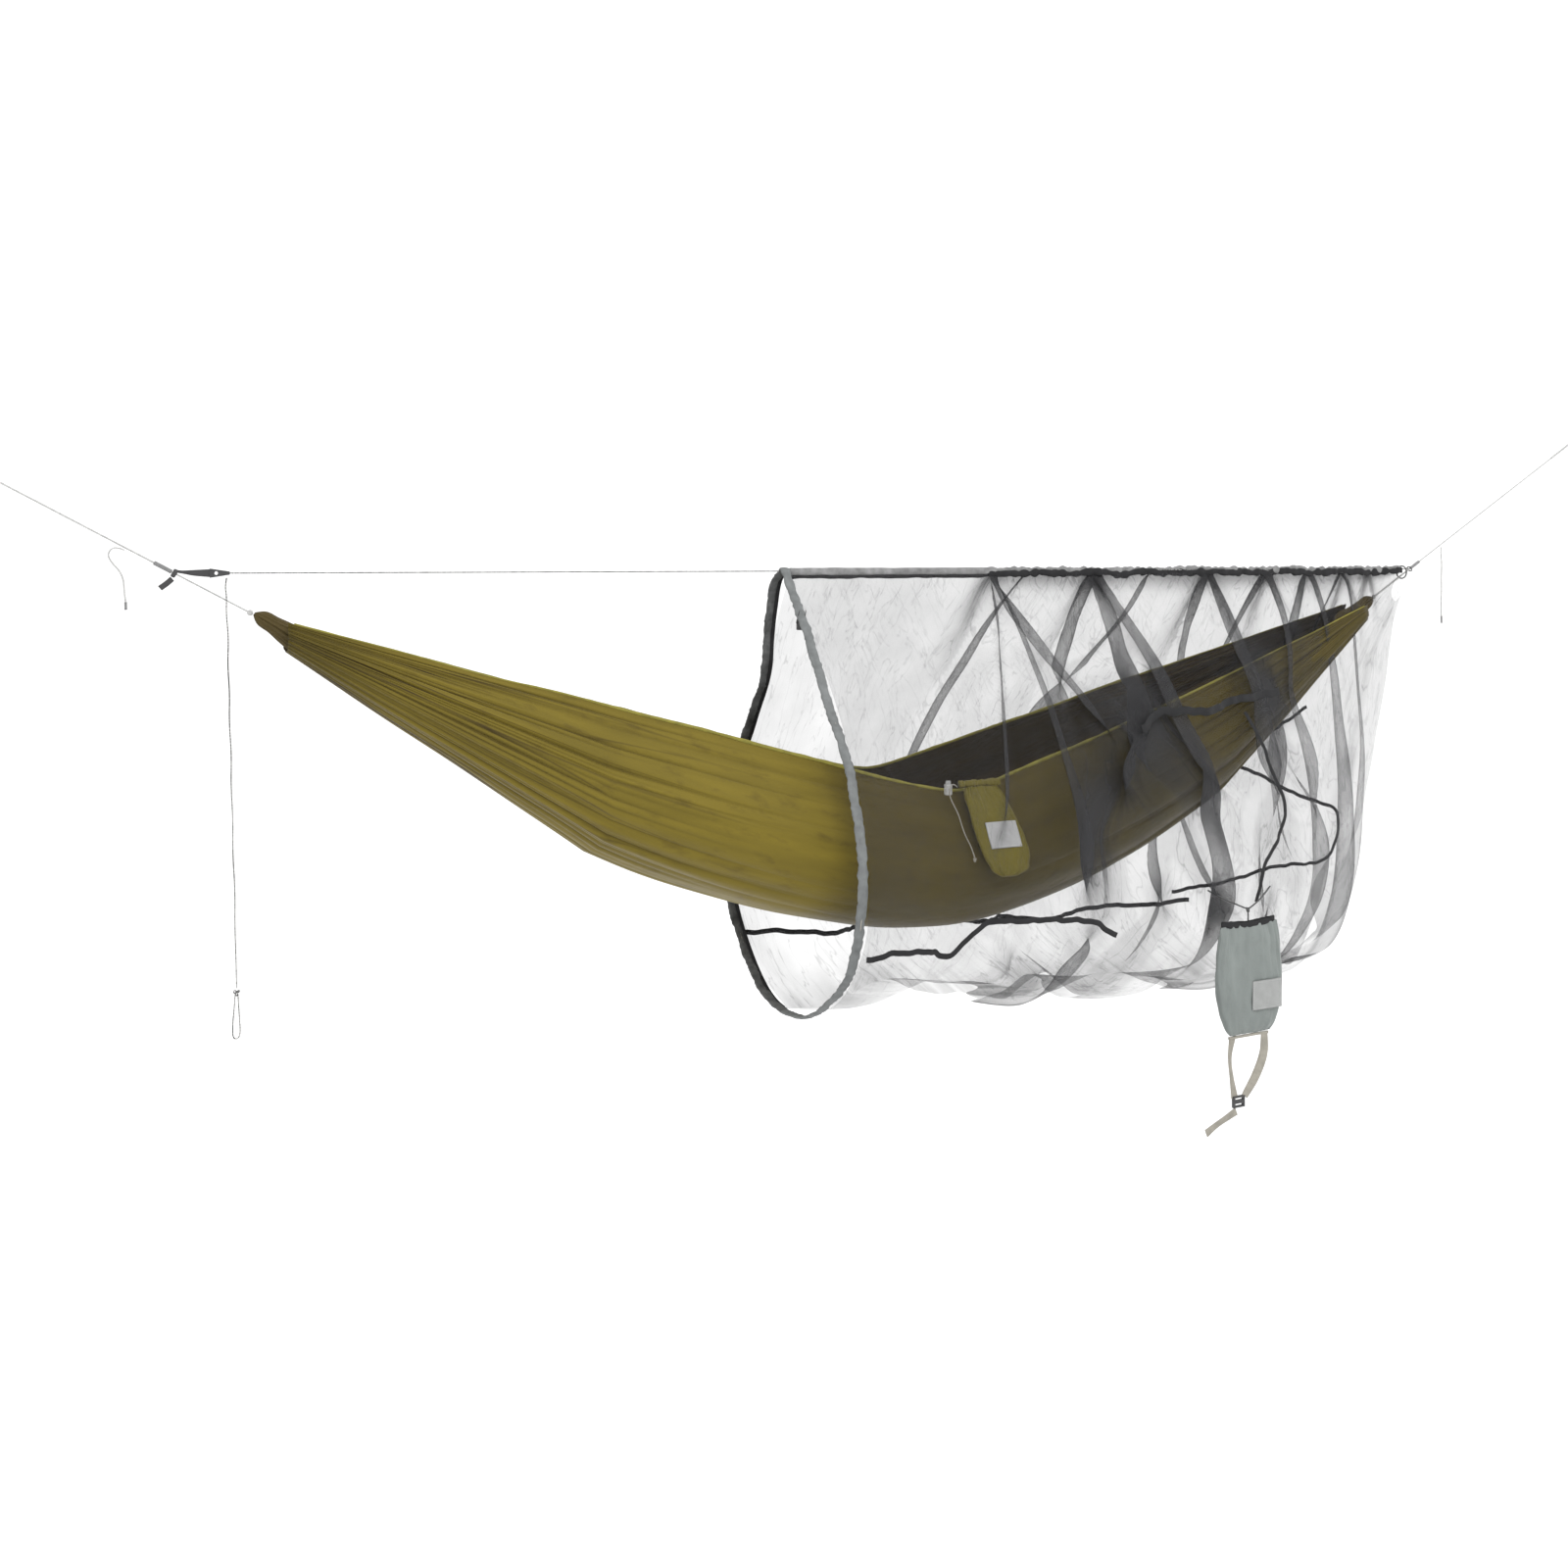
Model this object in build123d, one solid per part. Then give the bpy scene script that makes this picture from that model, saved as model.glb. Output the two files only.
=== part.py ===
"""Ridgeline camping hammock with a slip-on insect net.

The hammock hangs between two anchor rings. The origin is the bore centre of the left ring, +X runs
along the hang line to the right ring, +Z is up and -Y is the near side. Millimetres throughout.
"""

import os
from math import atan2, cos, degrees, pi, radians, sin, sqrt, tan

from build123d import *

# Hang geometry
SPAN = 3700.0  # between the two ring bores
MID = SPAN / 2
CLOTH_ENDS = 2300.0  # from one gathered end of the hammock to the other
HANG_ANGLE = 29.4  # of the suspension below the horizontal, degrees
TIP_X = MID - CLOTH_ENDS / 2
TIP_Z = -TIP_X * tan(radians(HANG_ANGLE))
RIDGE_Z = -333.0
HITCH_X = -RIDGE_Z / tan(radians(HANG_ANGLE))  # where the ridgeline meets the suspension

# Hammock cloth
CLOTH_WALL = 1.4
RIM_LOW_Z = -716.0
KEEL_LOW_Z = -975.0
BULB_LENGTH = 50.0
BULB_RADIUS = 20.0
HEM_SIZE = 5.0

# Cords and webbing
LINE_RADIUS = 1.5
EYE_RADIUS = 12.0
BURY_RADIUS = 2.4
SLEEVE_RADIUS = 3.2
LOOP_STRAND_RADIUS = 1.2
RIDGE_CORD_RADIUS = 1.0
TAIL_RADIUS = 1.25
STRAP_THICKNESS = 2.0

# Anchor rings
BORE_RADIUS = 15.0
RING_WALL = 7.0
RING_WIDTH = 8.0
SMALL_EYE_RADIUS = 7.5
SMALL_EYE_WALL = 4.5
SMALL_EYE_WIDTH = 4.0
EYE_DISTANCE = 40.0  # from the bore to the small eye, along the suspension

# Insect net
NET_WALL = 1.0
MOUTH_X = 1591.0
BINDING_WIDTH = 18.0
BINDING_THICKNESS = 5.0
BINDING_WALL = 1.2
MOUTH_HALF_WIDTH = 290.0
NET_TOP_Z = -340.0
NET_SLEEVE_RADIUS = 5.0
MOUTH_TOP_Z = -326.0
MOUTH_LOW_Z = -1110.0

# Cord locks
LOCK_RADIUS = 7.0
LOCK_LENGTH = 18.0
PLUNGER_RADIUS = 4.6
PLUNGER_TRAVEL = 4.0


def save(name, shape):
    """Write one sub-part to its own STEP file."""
    export_step(shape, f"parts/{name}.step")


def line_point(distance, side=1):
    """The point on a suspension's axis that lies this far from its ring's bore; side -1 is the right."""
    x, z = distance * cos(radians(HANG_ANGLE)), -distance * sin(radians(HANG_ANGLE))
    return Vector(x if side == 1 else SPAN - x, 0, z)


def at_x(x):
    """The distance along the suspension at which it is this far from the ring in X."""
    return x / cos(radians(HANG_ANGLE))


def rod(start, end, radius):
    """A round bar between two points."""
    start, end = Vector(*start), Vector(*end)
    plane = Plane(origin=start, z_dir=end - start)
    return plane * Cylinder(radius, (end - start).length, align=(Align.CENTER, Align.CENTER, Align.MIN))


def ring(centre, direction, inner, tube):
    """A round ring of cord about an axis through its centre."""
    return Plane(origin=centre, z_dir=direction) * Torus(inner + tube, tube)


def mirror_x(shape):
    """The same piece at the other end of the hammock."""
    return mirror(shape, about=Plane(origin=(MID, 0, 0), z_dir=(1, 0, 0)))


def cord_tube(points, radius):
    """A free cord: straight runs joined by arcs as large as the runs allow, with the radii it used."""
    points = [Vector(*p) for p in points]
    radii = []
    for before, here, after in zip(points, points[1:], points[2:]):
        turn = (here - before).get_angle(after - here)
        shorter = min((here - before).length, (after - here).length)
        radii.append(0.45 * shorter / tan(radians(turn) / 2))
    path = FilletPolyline(*points, radius=radii)
    start = Plane(origin=points[0], z_dir=points[1] - points[0])
    tube = sweep(start * Circle(radius), path=path)
    long = path.length
    print(f"  cord {long:.0f} mm, radii {', '.join(f'{r:.0f}' for r in radii)}, "
          f"volume share {tube.volume / (pi * radius**2 * long):.3f}")
    return tube


def ruled_skin(sections):
    """A solid through closed polygons that have the same number of points."""
    wires = [Wire.make_polygon([Vector(*p) for p in section], close=True) for section in sections]
    return Solid.make_loft(wires, ruled=True)


def thick_section(outer, wall):
    """A closed 2D strip of this thickness on the inside of an open outline."""
    inner = []
    for i, (a, b) in enumerate(outer):
        a0, b0 = outer[max(i - 1, 0)]
        a1, b1 = outer[min(i + 1, len(outer) - 1)]
        length = sqrt((a1 - a0) ** 2 + (b1 - b0) ** 2)
        inner.append((a - wall * (b1 - b0) / length, b + wall * (a1 - a0) / length))
    return outer + inner[::-1]


# ---------------------------------------------------------------- anchors and suspension

EYE_CENTRE = line_point(EYE_DISTANCE)
SWING_Z = EYE_CENTRE.Z  # the hammock swings about the line through both small eyes


def anchor_ring():
    """A forged double ring: a large bore for the tree strap's carabiner, a small eye for the line."""
    def disc(radius, width, centre):
        return Plane(origin=centre, z_dir=(0, 1, 0)) * Cylinder(radius, width)

    neck_plane = Plane(origin=line_point(EYE_DISTANCE / 2), x_dir=line_point(1), z_dir=(0, 1, 0))
    neck = neck_plane * Box(EYE_DISTANCE, 9.0, SMALL_EYE_WIDTH)
    body = disc(BORE_RADIUS + RING_WALL, RING_WIDTH, (0, 0, 0))
    body = fillet(body.edges(), 2.0)
    body = body + neck + disc(SMALL_EYE_RADIUS + SMALL_EYE_WALL, SMALL_EYE_WIDTH, EYE_CENTRE)
    body -= disc(BORE_RADIUS, 3 * RING_WIDTH, (0, 0, 0))
    return body - disc(SMALL_EYE_RADIUS, 3 * RING_WIDTH, EYE_CENTRE)


EYE_BULGE = EYE_DISTANCE + EYE_RADIUS  # the centre of the rope eye's round end
THROAT = EYE_BULGE + 36.0
BURY_END = THROAT + 70.0


def suspension_eye():
    """The rope's spliced eye, with the bury that closes it."""
    along = line_point(1)
    across = Vector(0, 1, 0)
    centre = line_point(EYE_BULGE)
    lean = degrees(atan2(EYE_RADIUS, THROAT - EYE_BULGE))
    touch = 90.0 - lean

    def on_circle(angle):
        a = radians(angle)
        return centre + along * (EYE_RADIUS * cos(a)) + across * (EYE_RADIUS * sin(a))

    arc = ThreePointArc(on_circle(touch), centre - along * EYE_RADIUS, on_circle(-touch))
    bend = sweep(Plane(origin=arc @ 0, z_dir=arc % 0) * Circle(LINE_RADIUS), path=arc)
    legs = [rod(on_circle(side * touch), line_point(THROAT), LINE_RADIUS) for side in (-1, 1)]
    bury = rod(line_point(THROAT - 8.0), line_point(BURY_END), BURY_RADIUS)
    return bury + legs[0] + legs[1] + bend


SLEEVE_START, SLEEVE_END = at_x(563.0), at_x(587.0)


def suspension_line():
    """The taut line from the eye's bury to the adjuster sleeve."""
    return rod(line_point(BURY_END), line_point(SLEEVE_START), LINE_RADIUS)


def adjuster_sleeve():
    """The grey sleeve over the splice that adjusts the line's length."""
    return rod(line_point(SLEEVE_START), line_point(SLEEVE_END), SLEEVE_RADIUS)


TIP = at_x(TIP_X)


def end_loop():
    """Two strands from the sleeve to the gathered cloth, with a small knob where they go into it."""
    strands = [
        rod(
            line_point(SLEEVE_END + 0.1) + Vector(0, side * 1.5, 0),
            line_point(TIP) + Vector(0, side * 2.2, 0),
            LOOP_STRAND_RADIUS,
        )
        for side in (-1, 1)
    ]
    knob = Location(line_point(TIP - 3.2)) * Sphere(4.5)
    return strands[0] + strands[1] + knob


# ---------------------------------------------------------------- hammock cloth


def rim_z(x):
    """Height of the cloth's long edges: nearly straight to the ends, rounded at the middle."""
    u = abs(x - MID) / (CLOTH_ENDS / 2)
    rise = TIP_Z - RIM_LOW_Z
    return TIP_Z - rise * (1 - sqrt(u * u + 0.04**2)) / 0.96


def keel_z(x):
    """Height of the cloth's lowest line: two straight ends and a shallow bowl between them."""
    u = abs(x - MID) / (CLOTH_ENDS / 2)
    bend = 0.55
    bend_z = -795.0
    if u > bend:
        return bend_z + (TIP_Z - 24.0 - bend_z) * (u - bend) / (1 - bend)
    return KEEL_LOW_Z + (bend_z - KEEL_LOW_Z) * (u / bend) ** 1.7


def rim_half_width(x):
    """Half of the opening between the two long edges."""
    u = abs(x - MID) / (CLOTH_ENDS / 2)
    return 20.0 + 142.0 * (1 - u**1.6)


def side_half_width(x):
    """Half of the widest place of the cloth, below its edges."""
    u = abs(x - MID) / (CLOTH_ENDS / 2)
    return 22.0 + 203.0 * (1 - u * u) ** 1.1


def cloth_outline(x):
    """The cloth's open outline at one station, from the near edge under the keel to the far edge."""
    top, depth = rim_z(x), rim_z(x) - keel_z(x)
    wide, side = rim_half_width(x), side_half_width(x)
    near = [(wide, 0.0), (0.5 * (wide + side), 0.2), (side, 0.48), (0.86 * side, 0.75), (0.5 * side, 0.94)]
    half = [(-y, top - share * depth) for y, share in near]
    return half + [(0.0, top - depth)] + [(-y, z) for y, z in half[::-1]]


CLOTH_FROM = TIP_X + BULB_LENGTH
CLOTH_STATIONS = [CLOTH_FROM + (CLOTH_ENDS - 2 * BULB_LENGTH) * i / 14 for i in range(15)]


def hammock_body():
    """The hanging cloth, an open trough of thin fabric."""
    return ruled_skin(
        [[(x, y, z) for y, z in thick_section(cloth_outline(x), CLOTH_WALL)] for x in CLOTH_STATIONS]
    )


def rim_hem(side):
    """The rolled hem along one long edge of the cloth."""
    sections = []
    for x in CLOTH_STATIONS:
        y = side * (rim_half_width(x) - 1.0)
        low = rim_z(x) + 0.5
        half = HEM_SIZE / 2
        corners = [(-half, 0.0), (half, 0.0), (half, HEM_SIZE), (-half, HEM_SIZE)]
        sections.append([(x, y + a, low + b) for a, b in corners])
    return ruled_skin(sections)


def end_channel():
    """The gathered, sewn end of the cloth, wide where the pleats open out."""
    middle_z = (rim_z(CLOTH_FROM) + keel_z(CLOTH_FROM)) / 2
    tip, base = Vector(TIP_X + 3.0, 0, TIP_Z), Vector(CLOTH_FROM - 1.0, 0, middle_z)
    long = (base - tip).length
    profile = [(0, 0), (5.0, 0), (10.0, 0.12 * long), (14.0, 0.4 * long), (BULB_RADIUS, long), (0, long)]
    outline = make_face(Plane.XZ * Polyline(*profile, close=True))
    return Plane(origin=tip, z_dir=base - tip) * revolve(outline, Axis.Z)


# ---------------------------------------------------------------- ridgeline

LOCK_START_X, LOCK_NOSE_X = 640.0, 668.0
RIDGE_RIGHT_X = SPAN - HITCH_X - 12.0
HITCH_TUBE = 1.2
HITCH_INNER = 4.2


def ridge_hitch():
    """The loop of ridge cord round a suspension's two strands."""
    return ring(line_point(at_x(HITCH_X)), line_point(1), HITCH_INNER, HITCH_TUBE)


def ridge_strap():
    """Webbing from the left hitch to the line lock, which widens along its length."""
    outline = [(HITCH_X + 2, RIDGE_Z + 4), (HITCH_X + 12, RIDGE_Z - 1.2), (LOCK_START_X, RIDGE_Z - 6),
               (LOCK_START_X, RIDGE_Z + 6), (HITCH_X + 12, RIDGE_Z + 4.5), (HITCH_X + 3.5, RIDGE_Z + 6.5)]
    face = make_face(Plane.XZ * Polyline(*outline, close=True))
    return ridge_hitch() + extrude(face, STRAP_THICKNESS / 2, both=True)


def ridge_strap_tag():
    """The flat pull tag that hangs from the hitch."""
    outline = [(HITCH_X - 6, RIDGE_Z - 8), (HITCH_X - 1, RIDGE_Z - 13), (HITCH_X - 17, RIDGE_Z - 26),
               (HITCH_X - 23, RIDGE_Z - 18)]
    face = make_face(Plane.XZ * Polyline(*outline, close=True))
    return extrude(face, STRAP_THICKNESS / 2, both=True)


def line_lock():
    """The triangular tensioner that the ridge cord runs through, with its finger hole."""
    outline = [(LOCK_START_X, RIDGE_Z - 7), (LOCK_NOSE_X, RIDGE_Z - 2.5), (LOCK_NOSE_X, RIDGE_Z + 2.5),
               (LOCK_START_X, RIDGE_Z + 7)]
    plate = extrude(make_face(Plane.XZ * Polyline(*outline, close=True)), 2.0, both=True)
    hole = Plane(origin=(LOCK_START_X + 9, 0, RIDGE_Z), z_dir=(0, 1, 0)) * Cylinder(2.6, 10)
    return plate - hole


def ridgeline():
    """The taut reflective cord from the line lock to the right hitch."""
    return rod((LOCK_NOSE_X, 0, RIDGE_Z), (RIDGE_RIGHT_X, 0, RIDGE_Z), RIDGE_CORD_RADIUS)


def ridge_loop_right():
    """The right hitch, with the short stem that the ridgeline is tied to."""
    stem = rod((RIDGE_RIGHT_X + 0.8, 0, RIDGE_Z), (SPAN - HITCH_X - 2.8, 0, RIDGE_Z + 4.8), 1.3)
    return mirror_x(ridge_hitch()) + stem


# ---------------------------------------------------------------- insect net

NET_PROFILE = [(0.0, 0.012), (0.12, 0.34), (0.33, 0.78), (0.57, 1.0), (0.80, 0.94), (0.94, 0.58), (1.0, 0.0)]
# Each station: X of the ridge, height of the ridge, X and height of the lowest point, half width
NET_STATIONS = [
    (1601.0, NET_TOP_Z, 1603.0, -1108.0, 288.0),
    (1800.0, NET_TOP_Z, 1790.0, -1085.0, 318.0),
    (2050.0, NET_TOP_Z, 2050.0, -1105.0, 325.0),
    (2300.0, NET_TOP_Z, 2290.0, -1120.0, 315.0),
    (2600.0, NET_TOP_Z, 2520.0, -1165.0, 280.0),
    (2850.0, NET_TOP_Z - 1, 2760.0, -1175.0, 215.0),
    (3000.0, NET_TOP_Z - 1, 2890.0, -1080.0, 140.0),
    (3050.0, NET_TOP_Z - 1, 2990.0, -850.0, 75.0),
    (3080.0, NET_TOP_Z, 3080.0, -378.0, 14.0),
]


def net_outline(station):
    """One station's open outline in its own slanting plane, from the near side of the ridge."""
    top_x, top_z, low_x, low_z, wide = station
    long = sqrt((low_x - top_x) ** 2 + (low_z - top_z) ** 2)
    least = 1.5
    half = [(-max(share * wide, least), -t * long) for t, share in NET_PROFILE[:-1]]
    return half + [(0.0, -long)] + [(-y, s) for y, s in half[::-1]]


def net_mesh():
    """The sleeve of insect mesh round the foot half of the hammock, open at its mouth."""
    sections = []
    for station in NET_STATIONS:
        top_x, top_z, low_x, low_z, _ = station
        long = sqrt((low_x - top_x) ** 2 + (low_z - top_z) ** 2)
        down = ((top_x - low_x) / long, (top_z - low_z) / long)
        strip = thick_section(net_outline(station), NET_WALL)
        sections.append([(top_x + s * down[0], y, top_z + s * down[1]) for y, s in strip])
    return ruled_skin(sections)


def net_half_width(x, z):
    """The net's half width at a place, taken between its stations as if they stood upright."""
    stations = NET_STATIONS
    k = max(i for i, s in enumerate(stations[:-1]) if i == 0 or s[0] <= x)
    share = (x - stations[k][0]) / (stations[k + 1][0] - stations[k][0])
    top = stations[k][1]
    low = stations[k][3] + share * (stations[k + 1][3] - stations[k][3])
    wide = stations[k][4] + share * (stations[k + 1][4] - stations[k][4])
    t = (z - top) / (low - top)
    for (t0, w0), (t1, w1) in zip(NET_PROFILE, NET_PROFILE[1:]):
        if t <= t1:
            return wide * (w0 + (w1 - w0) * (t - t0) / (t1 - t0))
    return 0.0


def net_ridge_sleeve():
    """The channel sewn along the net's top, which slides on the ridgeline."""
    start, end = (NET_STATIONS[0][0], 0, RIDGE_Z), (3078.0, 0, RIDGE_Z)
    return rod(start, end, NET_SLEEVE_RADIUS) - rod(start, end, NET_SLEEVE_RADIUS - 1.5)


def net_end_cord():
    """The cord that gathers the closed end of the net round the suspension."""
    return ring(Vector(3085.0, 0, -340.0), Vector(1, 0, 0), 12.0, 1.5)


SEAM_HEIGHT = 10.0
SEAM_STANDOFF = 14.0


def net_seam(side):
    """The wavy tape that covers the seam between the mesh wall and the mesh floor."""
    route = [(1612, -965), (1700, -955), (1790, -972), (1900, -930), (2000, -945), (2100, -925), (2200, -930)]
    sections = []
    for x, z in route:
        y = max(net_half_width(x, z), net_half_width(x, z + SEAM_HEIGHT)) + SEAM_STANDOFF
        corners = [(y, z), (y + 1.0, z), (y + 1.0, z + SEAM_HEIGHT), (y, z + SEAM_HEIGHT)]
        sections.append([(x, side * a, b) for a, b in corners])
    return ruled_skin(sections)


def mouth_outline(inset):
    """The mouth's closed outline, drawn in by this much all round."""
    low, wide = MOUTH_LOW_Z, MOUTH_HALF_WIDTH
    high = MOUTH_TOP_Z
    right = [(14.0, high), (0.34 * wide, high - 95), (0.78 * wide, high - 258), (wide, high - 450),
             (0.93 * wide, high - 635), (0.52 * wide, high - 755)]
    corners = right + [(0.0, low)] + [(-y, z) for y, z in right[::-1]]
    face = make_face(Plane.YZ * Polyline(*corners, close=True))
    low_corner = face.vertices().sort_by(Axis.Z)[0]
    sides = [v for v in face.vertices() if v.Z < high - 50 and v.Z > low_corner.Z]
    face = fillet(sides + [low_corner], 55.0)
    return offset(face, -inset, kind=Kind.INTERSECTION) if inset else face


def mouth_ring(outer_inset, inner_inset, width):
    """A band of this width along X between two insets of the mouth's outline."""
    band = mouth_outline(outer_inset) - mouth_outline(inner_inset)
    return Pos(MOUTH_X, 0, 0) * extrude(band, width / 2, both=True)


def mouth_binding():
    """The hollow binding of the net's mouth, cut in two at its top and bottom seams."""
    hollow_in = (BINDING_WALL, BINDING_THICKNESS - BINDING_WALL)
    whole = mouth_ring(0.0, BINDING_THICKNESS, BINDING_WIDTH)
    whole -= mouth_ring(hollow_in[0], hollow_in[1], BINDING_WIDTH - 2 * BINDING_WALL)
    half = Box(100, 1000, 2000, align=(Align.CENTER, Align.MAX, Align.CENTER))
    near = whole & (Pos(MOUTH_X, 0, MOUTH_LOW_Z) * half)
    far = whole & (Pos(MOUTH_X, 1000, MOUTH_LOW_Z) * half)
    return near, far


def mouth_drawcord():
    """The cord that runs round inside the binding."""
    return mouth_ring(1.8, BINDING_THICKNESS - 1.8, 1.8)


# ---------------------------------------------------------------- cord locks


def cord_lock(x, y, z):
    """A barrel cord lock with its sprung plunger: body, plunger and spring, standing upright."""
    bore_radius = PLUNGER_RADIUS + 0.3
    body = Cylinder(LOCK_RADIUS, LOCK_LENGTH, align=(Align.CENTER, Align.CENTER, Align.MIN))
    body = fillet(body.edges(), 1.5)
    depth = LOCK_LENGTH - 2.5
    body -= Pos(0, 0, 2.5) * Cylinder(bore_radius, depth + 1, align=(Align.CENTER, Align.CENTER, Align.MIN))
    cross = Plane(origin=(0, 0, 12.0), z_dir=(1, 0, 0)) * Cylinder(2.0, 4 * LOCK_RADIUS)
    body -= cross
    spring_height = 5.5
    plunger_low = 2.5 + spring_height + 0.3
    plunger = Pos(0, 0, plunger_low) * Cylinder(
        PLUNGER_RADIUS, LOCK_LENGTH + PLUNGER_TRAVEL + 1.5 - plunger_low,
        align=(Align.CENTER, Align.CENTER, Align.MIN))
    plunger -= Plane(origin=(0, 0, 15.0), z_dir=(1, 0, 0)) * Cylinder(2.0, 4 * LOCK_RADIUS)
    coils = Helix(pitch=1.6, height=spring_height - 1.6, radius=3.2)
    wire = Plane(origin=coils @ 0, z_dir=coils % 0) * Circle(0.35)
    spring = Pos(0, 0, 3.1) * sweep(wire, path=coils)
    place = Pos(x, y, z)
    return place * body, place * plunger, place * spring


MOUTH_LOCK = (MOUTH_X, -62.0, -434.0)


def mouth_lock_cord():
    """The drawcord's two ends, from the binding to their lock."""
    x, y, z = MOUTH_LOCK
    ends = [
        rod((x + 6 * side, -71.5, -400.0), (x + (LOCK_RADIUS + 0.9) * side, y, z + 12.0), 0.7)
        for side in (-1, 1)
    ]
    return ends[0] + ends[1]


# ---------------------------------------------------------------- hammock's stuff pouch

POUCH_X, POUCH_TOP_Z, POUCH_LOW_Z = 1902.0, -697.0, -850.0
POUCH_TOP_Y, POUCH_LOW_Y = -182.0, -262.0


def pouch_point(across, down):
    """A point on the pouch's middle surface; across is in mm along X, down goes from 0 to 1."""
    y = POUCH_TOP_Y + down * (POUCH_LOW_Y - POUCH_TOP_Y)
    return (POUCH_X + across, y, POUCH_TOP_Z + down * (POUCH_LOW_Z - POUCH_TOP_Z))


def pouch_slab(rows, thickness, forward=0.0):
    """A slab through rows of (down, left, right) that lies along the cloth's near side."""
    lean = Vector(0, POUCH_LOW_Z - POUCH_TOP_Z, POUCH_TOP_Y - POUCH_LOW_Y).normalized()
    sections = []
    for down, left, right, swell in rows:
        half = thickness * swell / 2
        a, b = Vector(*pouch_point(left, down)), Vector(*pouch_point(right, down))
        a, b = a + lean * forward, b + lean * forward
        sections.append([tuple(p) for p in (a - lean * half, b - lean * half, b + lean * half, a + lean * half)])
    return ruled_skin(sections)


def pouch_body():
    """The cloth pouch that the hammock packs into, drawn shut at its top."""
    return pouch_slab([(0.075, -62, 22, 0.35), (0.3, -58, 46, 0.9), (0.6, -60, 62, 1.0), (0.85, -50, 56, 0.9),
                       (0.98, -30, 20, 0.4)], 14.0)


def pouch_hem():
    """The channel at the pouch's mouth, sewn along the hammock's near hem."""
    return pouch_slab([(-0.02, -66, 26, 0.8), (0.055, -64, 24, 0.8)], 8.0)


def pouch_label():
    """The blank woven patch on the pouch."""
    return pouch_slab([(0.42, -30, 46, 1.0), (0.72, -30, 46, 1.0)], 1.2, forward=8.0)


POUCH_LOCK = (1806.0, -196.0, -714.0)
POUCH_CORD_ROUTE = [
    (1824.0, -196.0, -702.0), (1815.0, -200.0, -694.0), (1805.0, -203.0, -700.0), (1803.0, -205.0, -714.0),
    (1809.0, -208.0, -729.0), (1816.0, -213.0, -745.0), (1818.0, -220.0, -763.0), (1822.0, -226.0, -781.0),
    (1829.0, -234.0, -799.0), (1831.0, -241.0, -816.0),
]


# ---------------------------------------------------------------- net's stuff sack

SACK_X, SACK_Y, SACK_TOP_Z, SACK_LOW_Z = 2347.0, -330.0, -962.0, -1155.0


def sack_body():
    """The net's stuff sack, hanging flat and slightly bulged."""
    rows = [(0.0, -66, 68, 12), (0.25, -70, 72, 24), (0.6, -70, 76, 30), (0.9, -54, 62, 22), (1.0, -44, 52, 8)]
    sections = []
    for share, left, right, thick in rows:
        z = SACK_TOP_Z + share * (SACK_LOW_Z - SACK_TOP_Z)
        half = thick / 2
        corners = [(left, -0.3), (left + 12, -1), (right - 12, -1), (right, -0.3), (right, 0.3), (right - 12, 1),
                   (left + 12, 1), (left, 0.3)]
        sections.append([(SACK_X + a, SACK_Y + b * half, z) for a, b in corners])
    return ruled_skin(sections)


HEM_HEIGHT = 12.0
KNOT_RADIUS = 4.5
KNOT_Z = SACK_TOP_Z + HEM_HEIGHT + 15.0  # the sack swings about its knot


def sack_hem():
    """The drawn channel at the sack's mouth, with the cord that leads up to its knot."""
    channel = Pos(SACK_X, SACK_Y, SACK_TOP_Z + 0.2) * Box(
        130, 14, HEM_HEIGHT, align=(Align.CENTER, Align.CENTER, Align.MIN))
    lead = rod((SACK_X, SACK_Y, SACK_TOP_Z + HEM_HEIGHT), (SACK_X, SACK_Y, KNOT_Z - KNOT_RADIUS - 0.6), 1.3)
    return channel + lead


def sack_label():
    """The blank woven patch on the sack."""
    return Pos(SACK_X + 30, SACK_Y - 16.5, -1085.0) * Box(68, 1.2, 52)


def sack_tie():
    """The knotted cord that ties the sack to the net on both sides."""
    knot = Location((SACK_X, SACK_Y, KNOT_Z)) * Sphere(KNOT_RADIUS, rotation=(90, 0, 0))
    for side, rise in ((-1, 36.0), (1, 30.0)):
        start = (SACK_X + 2.0 * side, SACK_Y + 0.4, KNOT_Z + 1.0)
        knot += rod(start, (SACK_X + 72.0 * side, SACK_Y + 22.0, KNOT_Z + rise), 1.6)
    return knot


def flat_strip(points, width, y):
    """Webbing of this width seen face on, through points in the XZ plane."""
    sections = []
    for i, (x, z) in enumerate(points):
        x0, z0 = points[max(i - 1, 0)]
        x1, z1 = points[min(i + 1, len(points) - 1)]
        long = sqrt((x1 - x0) ** 2 + (z1 - z0) ** 2)
        a, b = -(z1 - z0) / long * width / 2, (x1 - x0) / long * width / 2
        half = STRAP_THICKNESS / 2
        sections.append([(x - a, y - half, z - b), (x + a, y - half, z + b), (x + a, y + half, z + b),
                         (x - a, y + half, z - b)])
    return ruled_skin(sections)


STRAP_TOP_Z = SACK_LOW_Z - 1.4
BAR_SIZE = 5.0
BUCKLE_X, BUCKLE_Z = 2325.0, -1276.0


def sack_straps():
    """The two webbing ends sewn into the sack's base, down to their buckle."""
    left = flat_strip([(2312, STRAP_TOP_Z - 3), (2309, -1200), (2316, -1262)], 15.0, SACK_Y + 1.0)
    right = flat_strip([(2384, STRAP_TOP_Z - 3), (2374, -1205), (2341, -1262)], 15.0, SACK_Y - 1.0)
    bar = Pos(2348, SACK_Y, STRAP_TOP_Z) * Box(92, BAR_SIZE, BAR_SIZE, align=(Align.CENTER, Align.CENTER, Align.MAX))
    return bar + left + right


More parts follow.
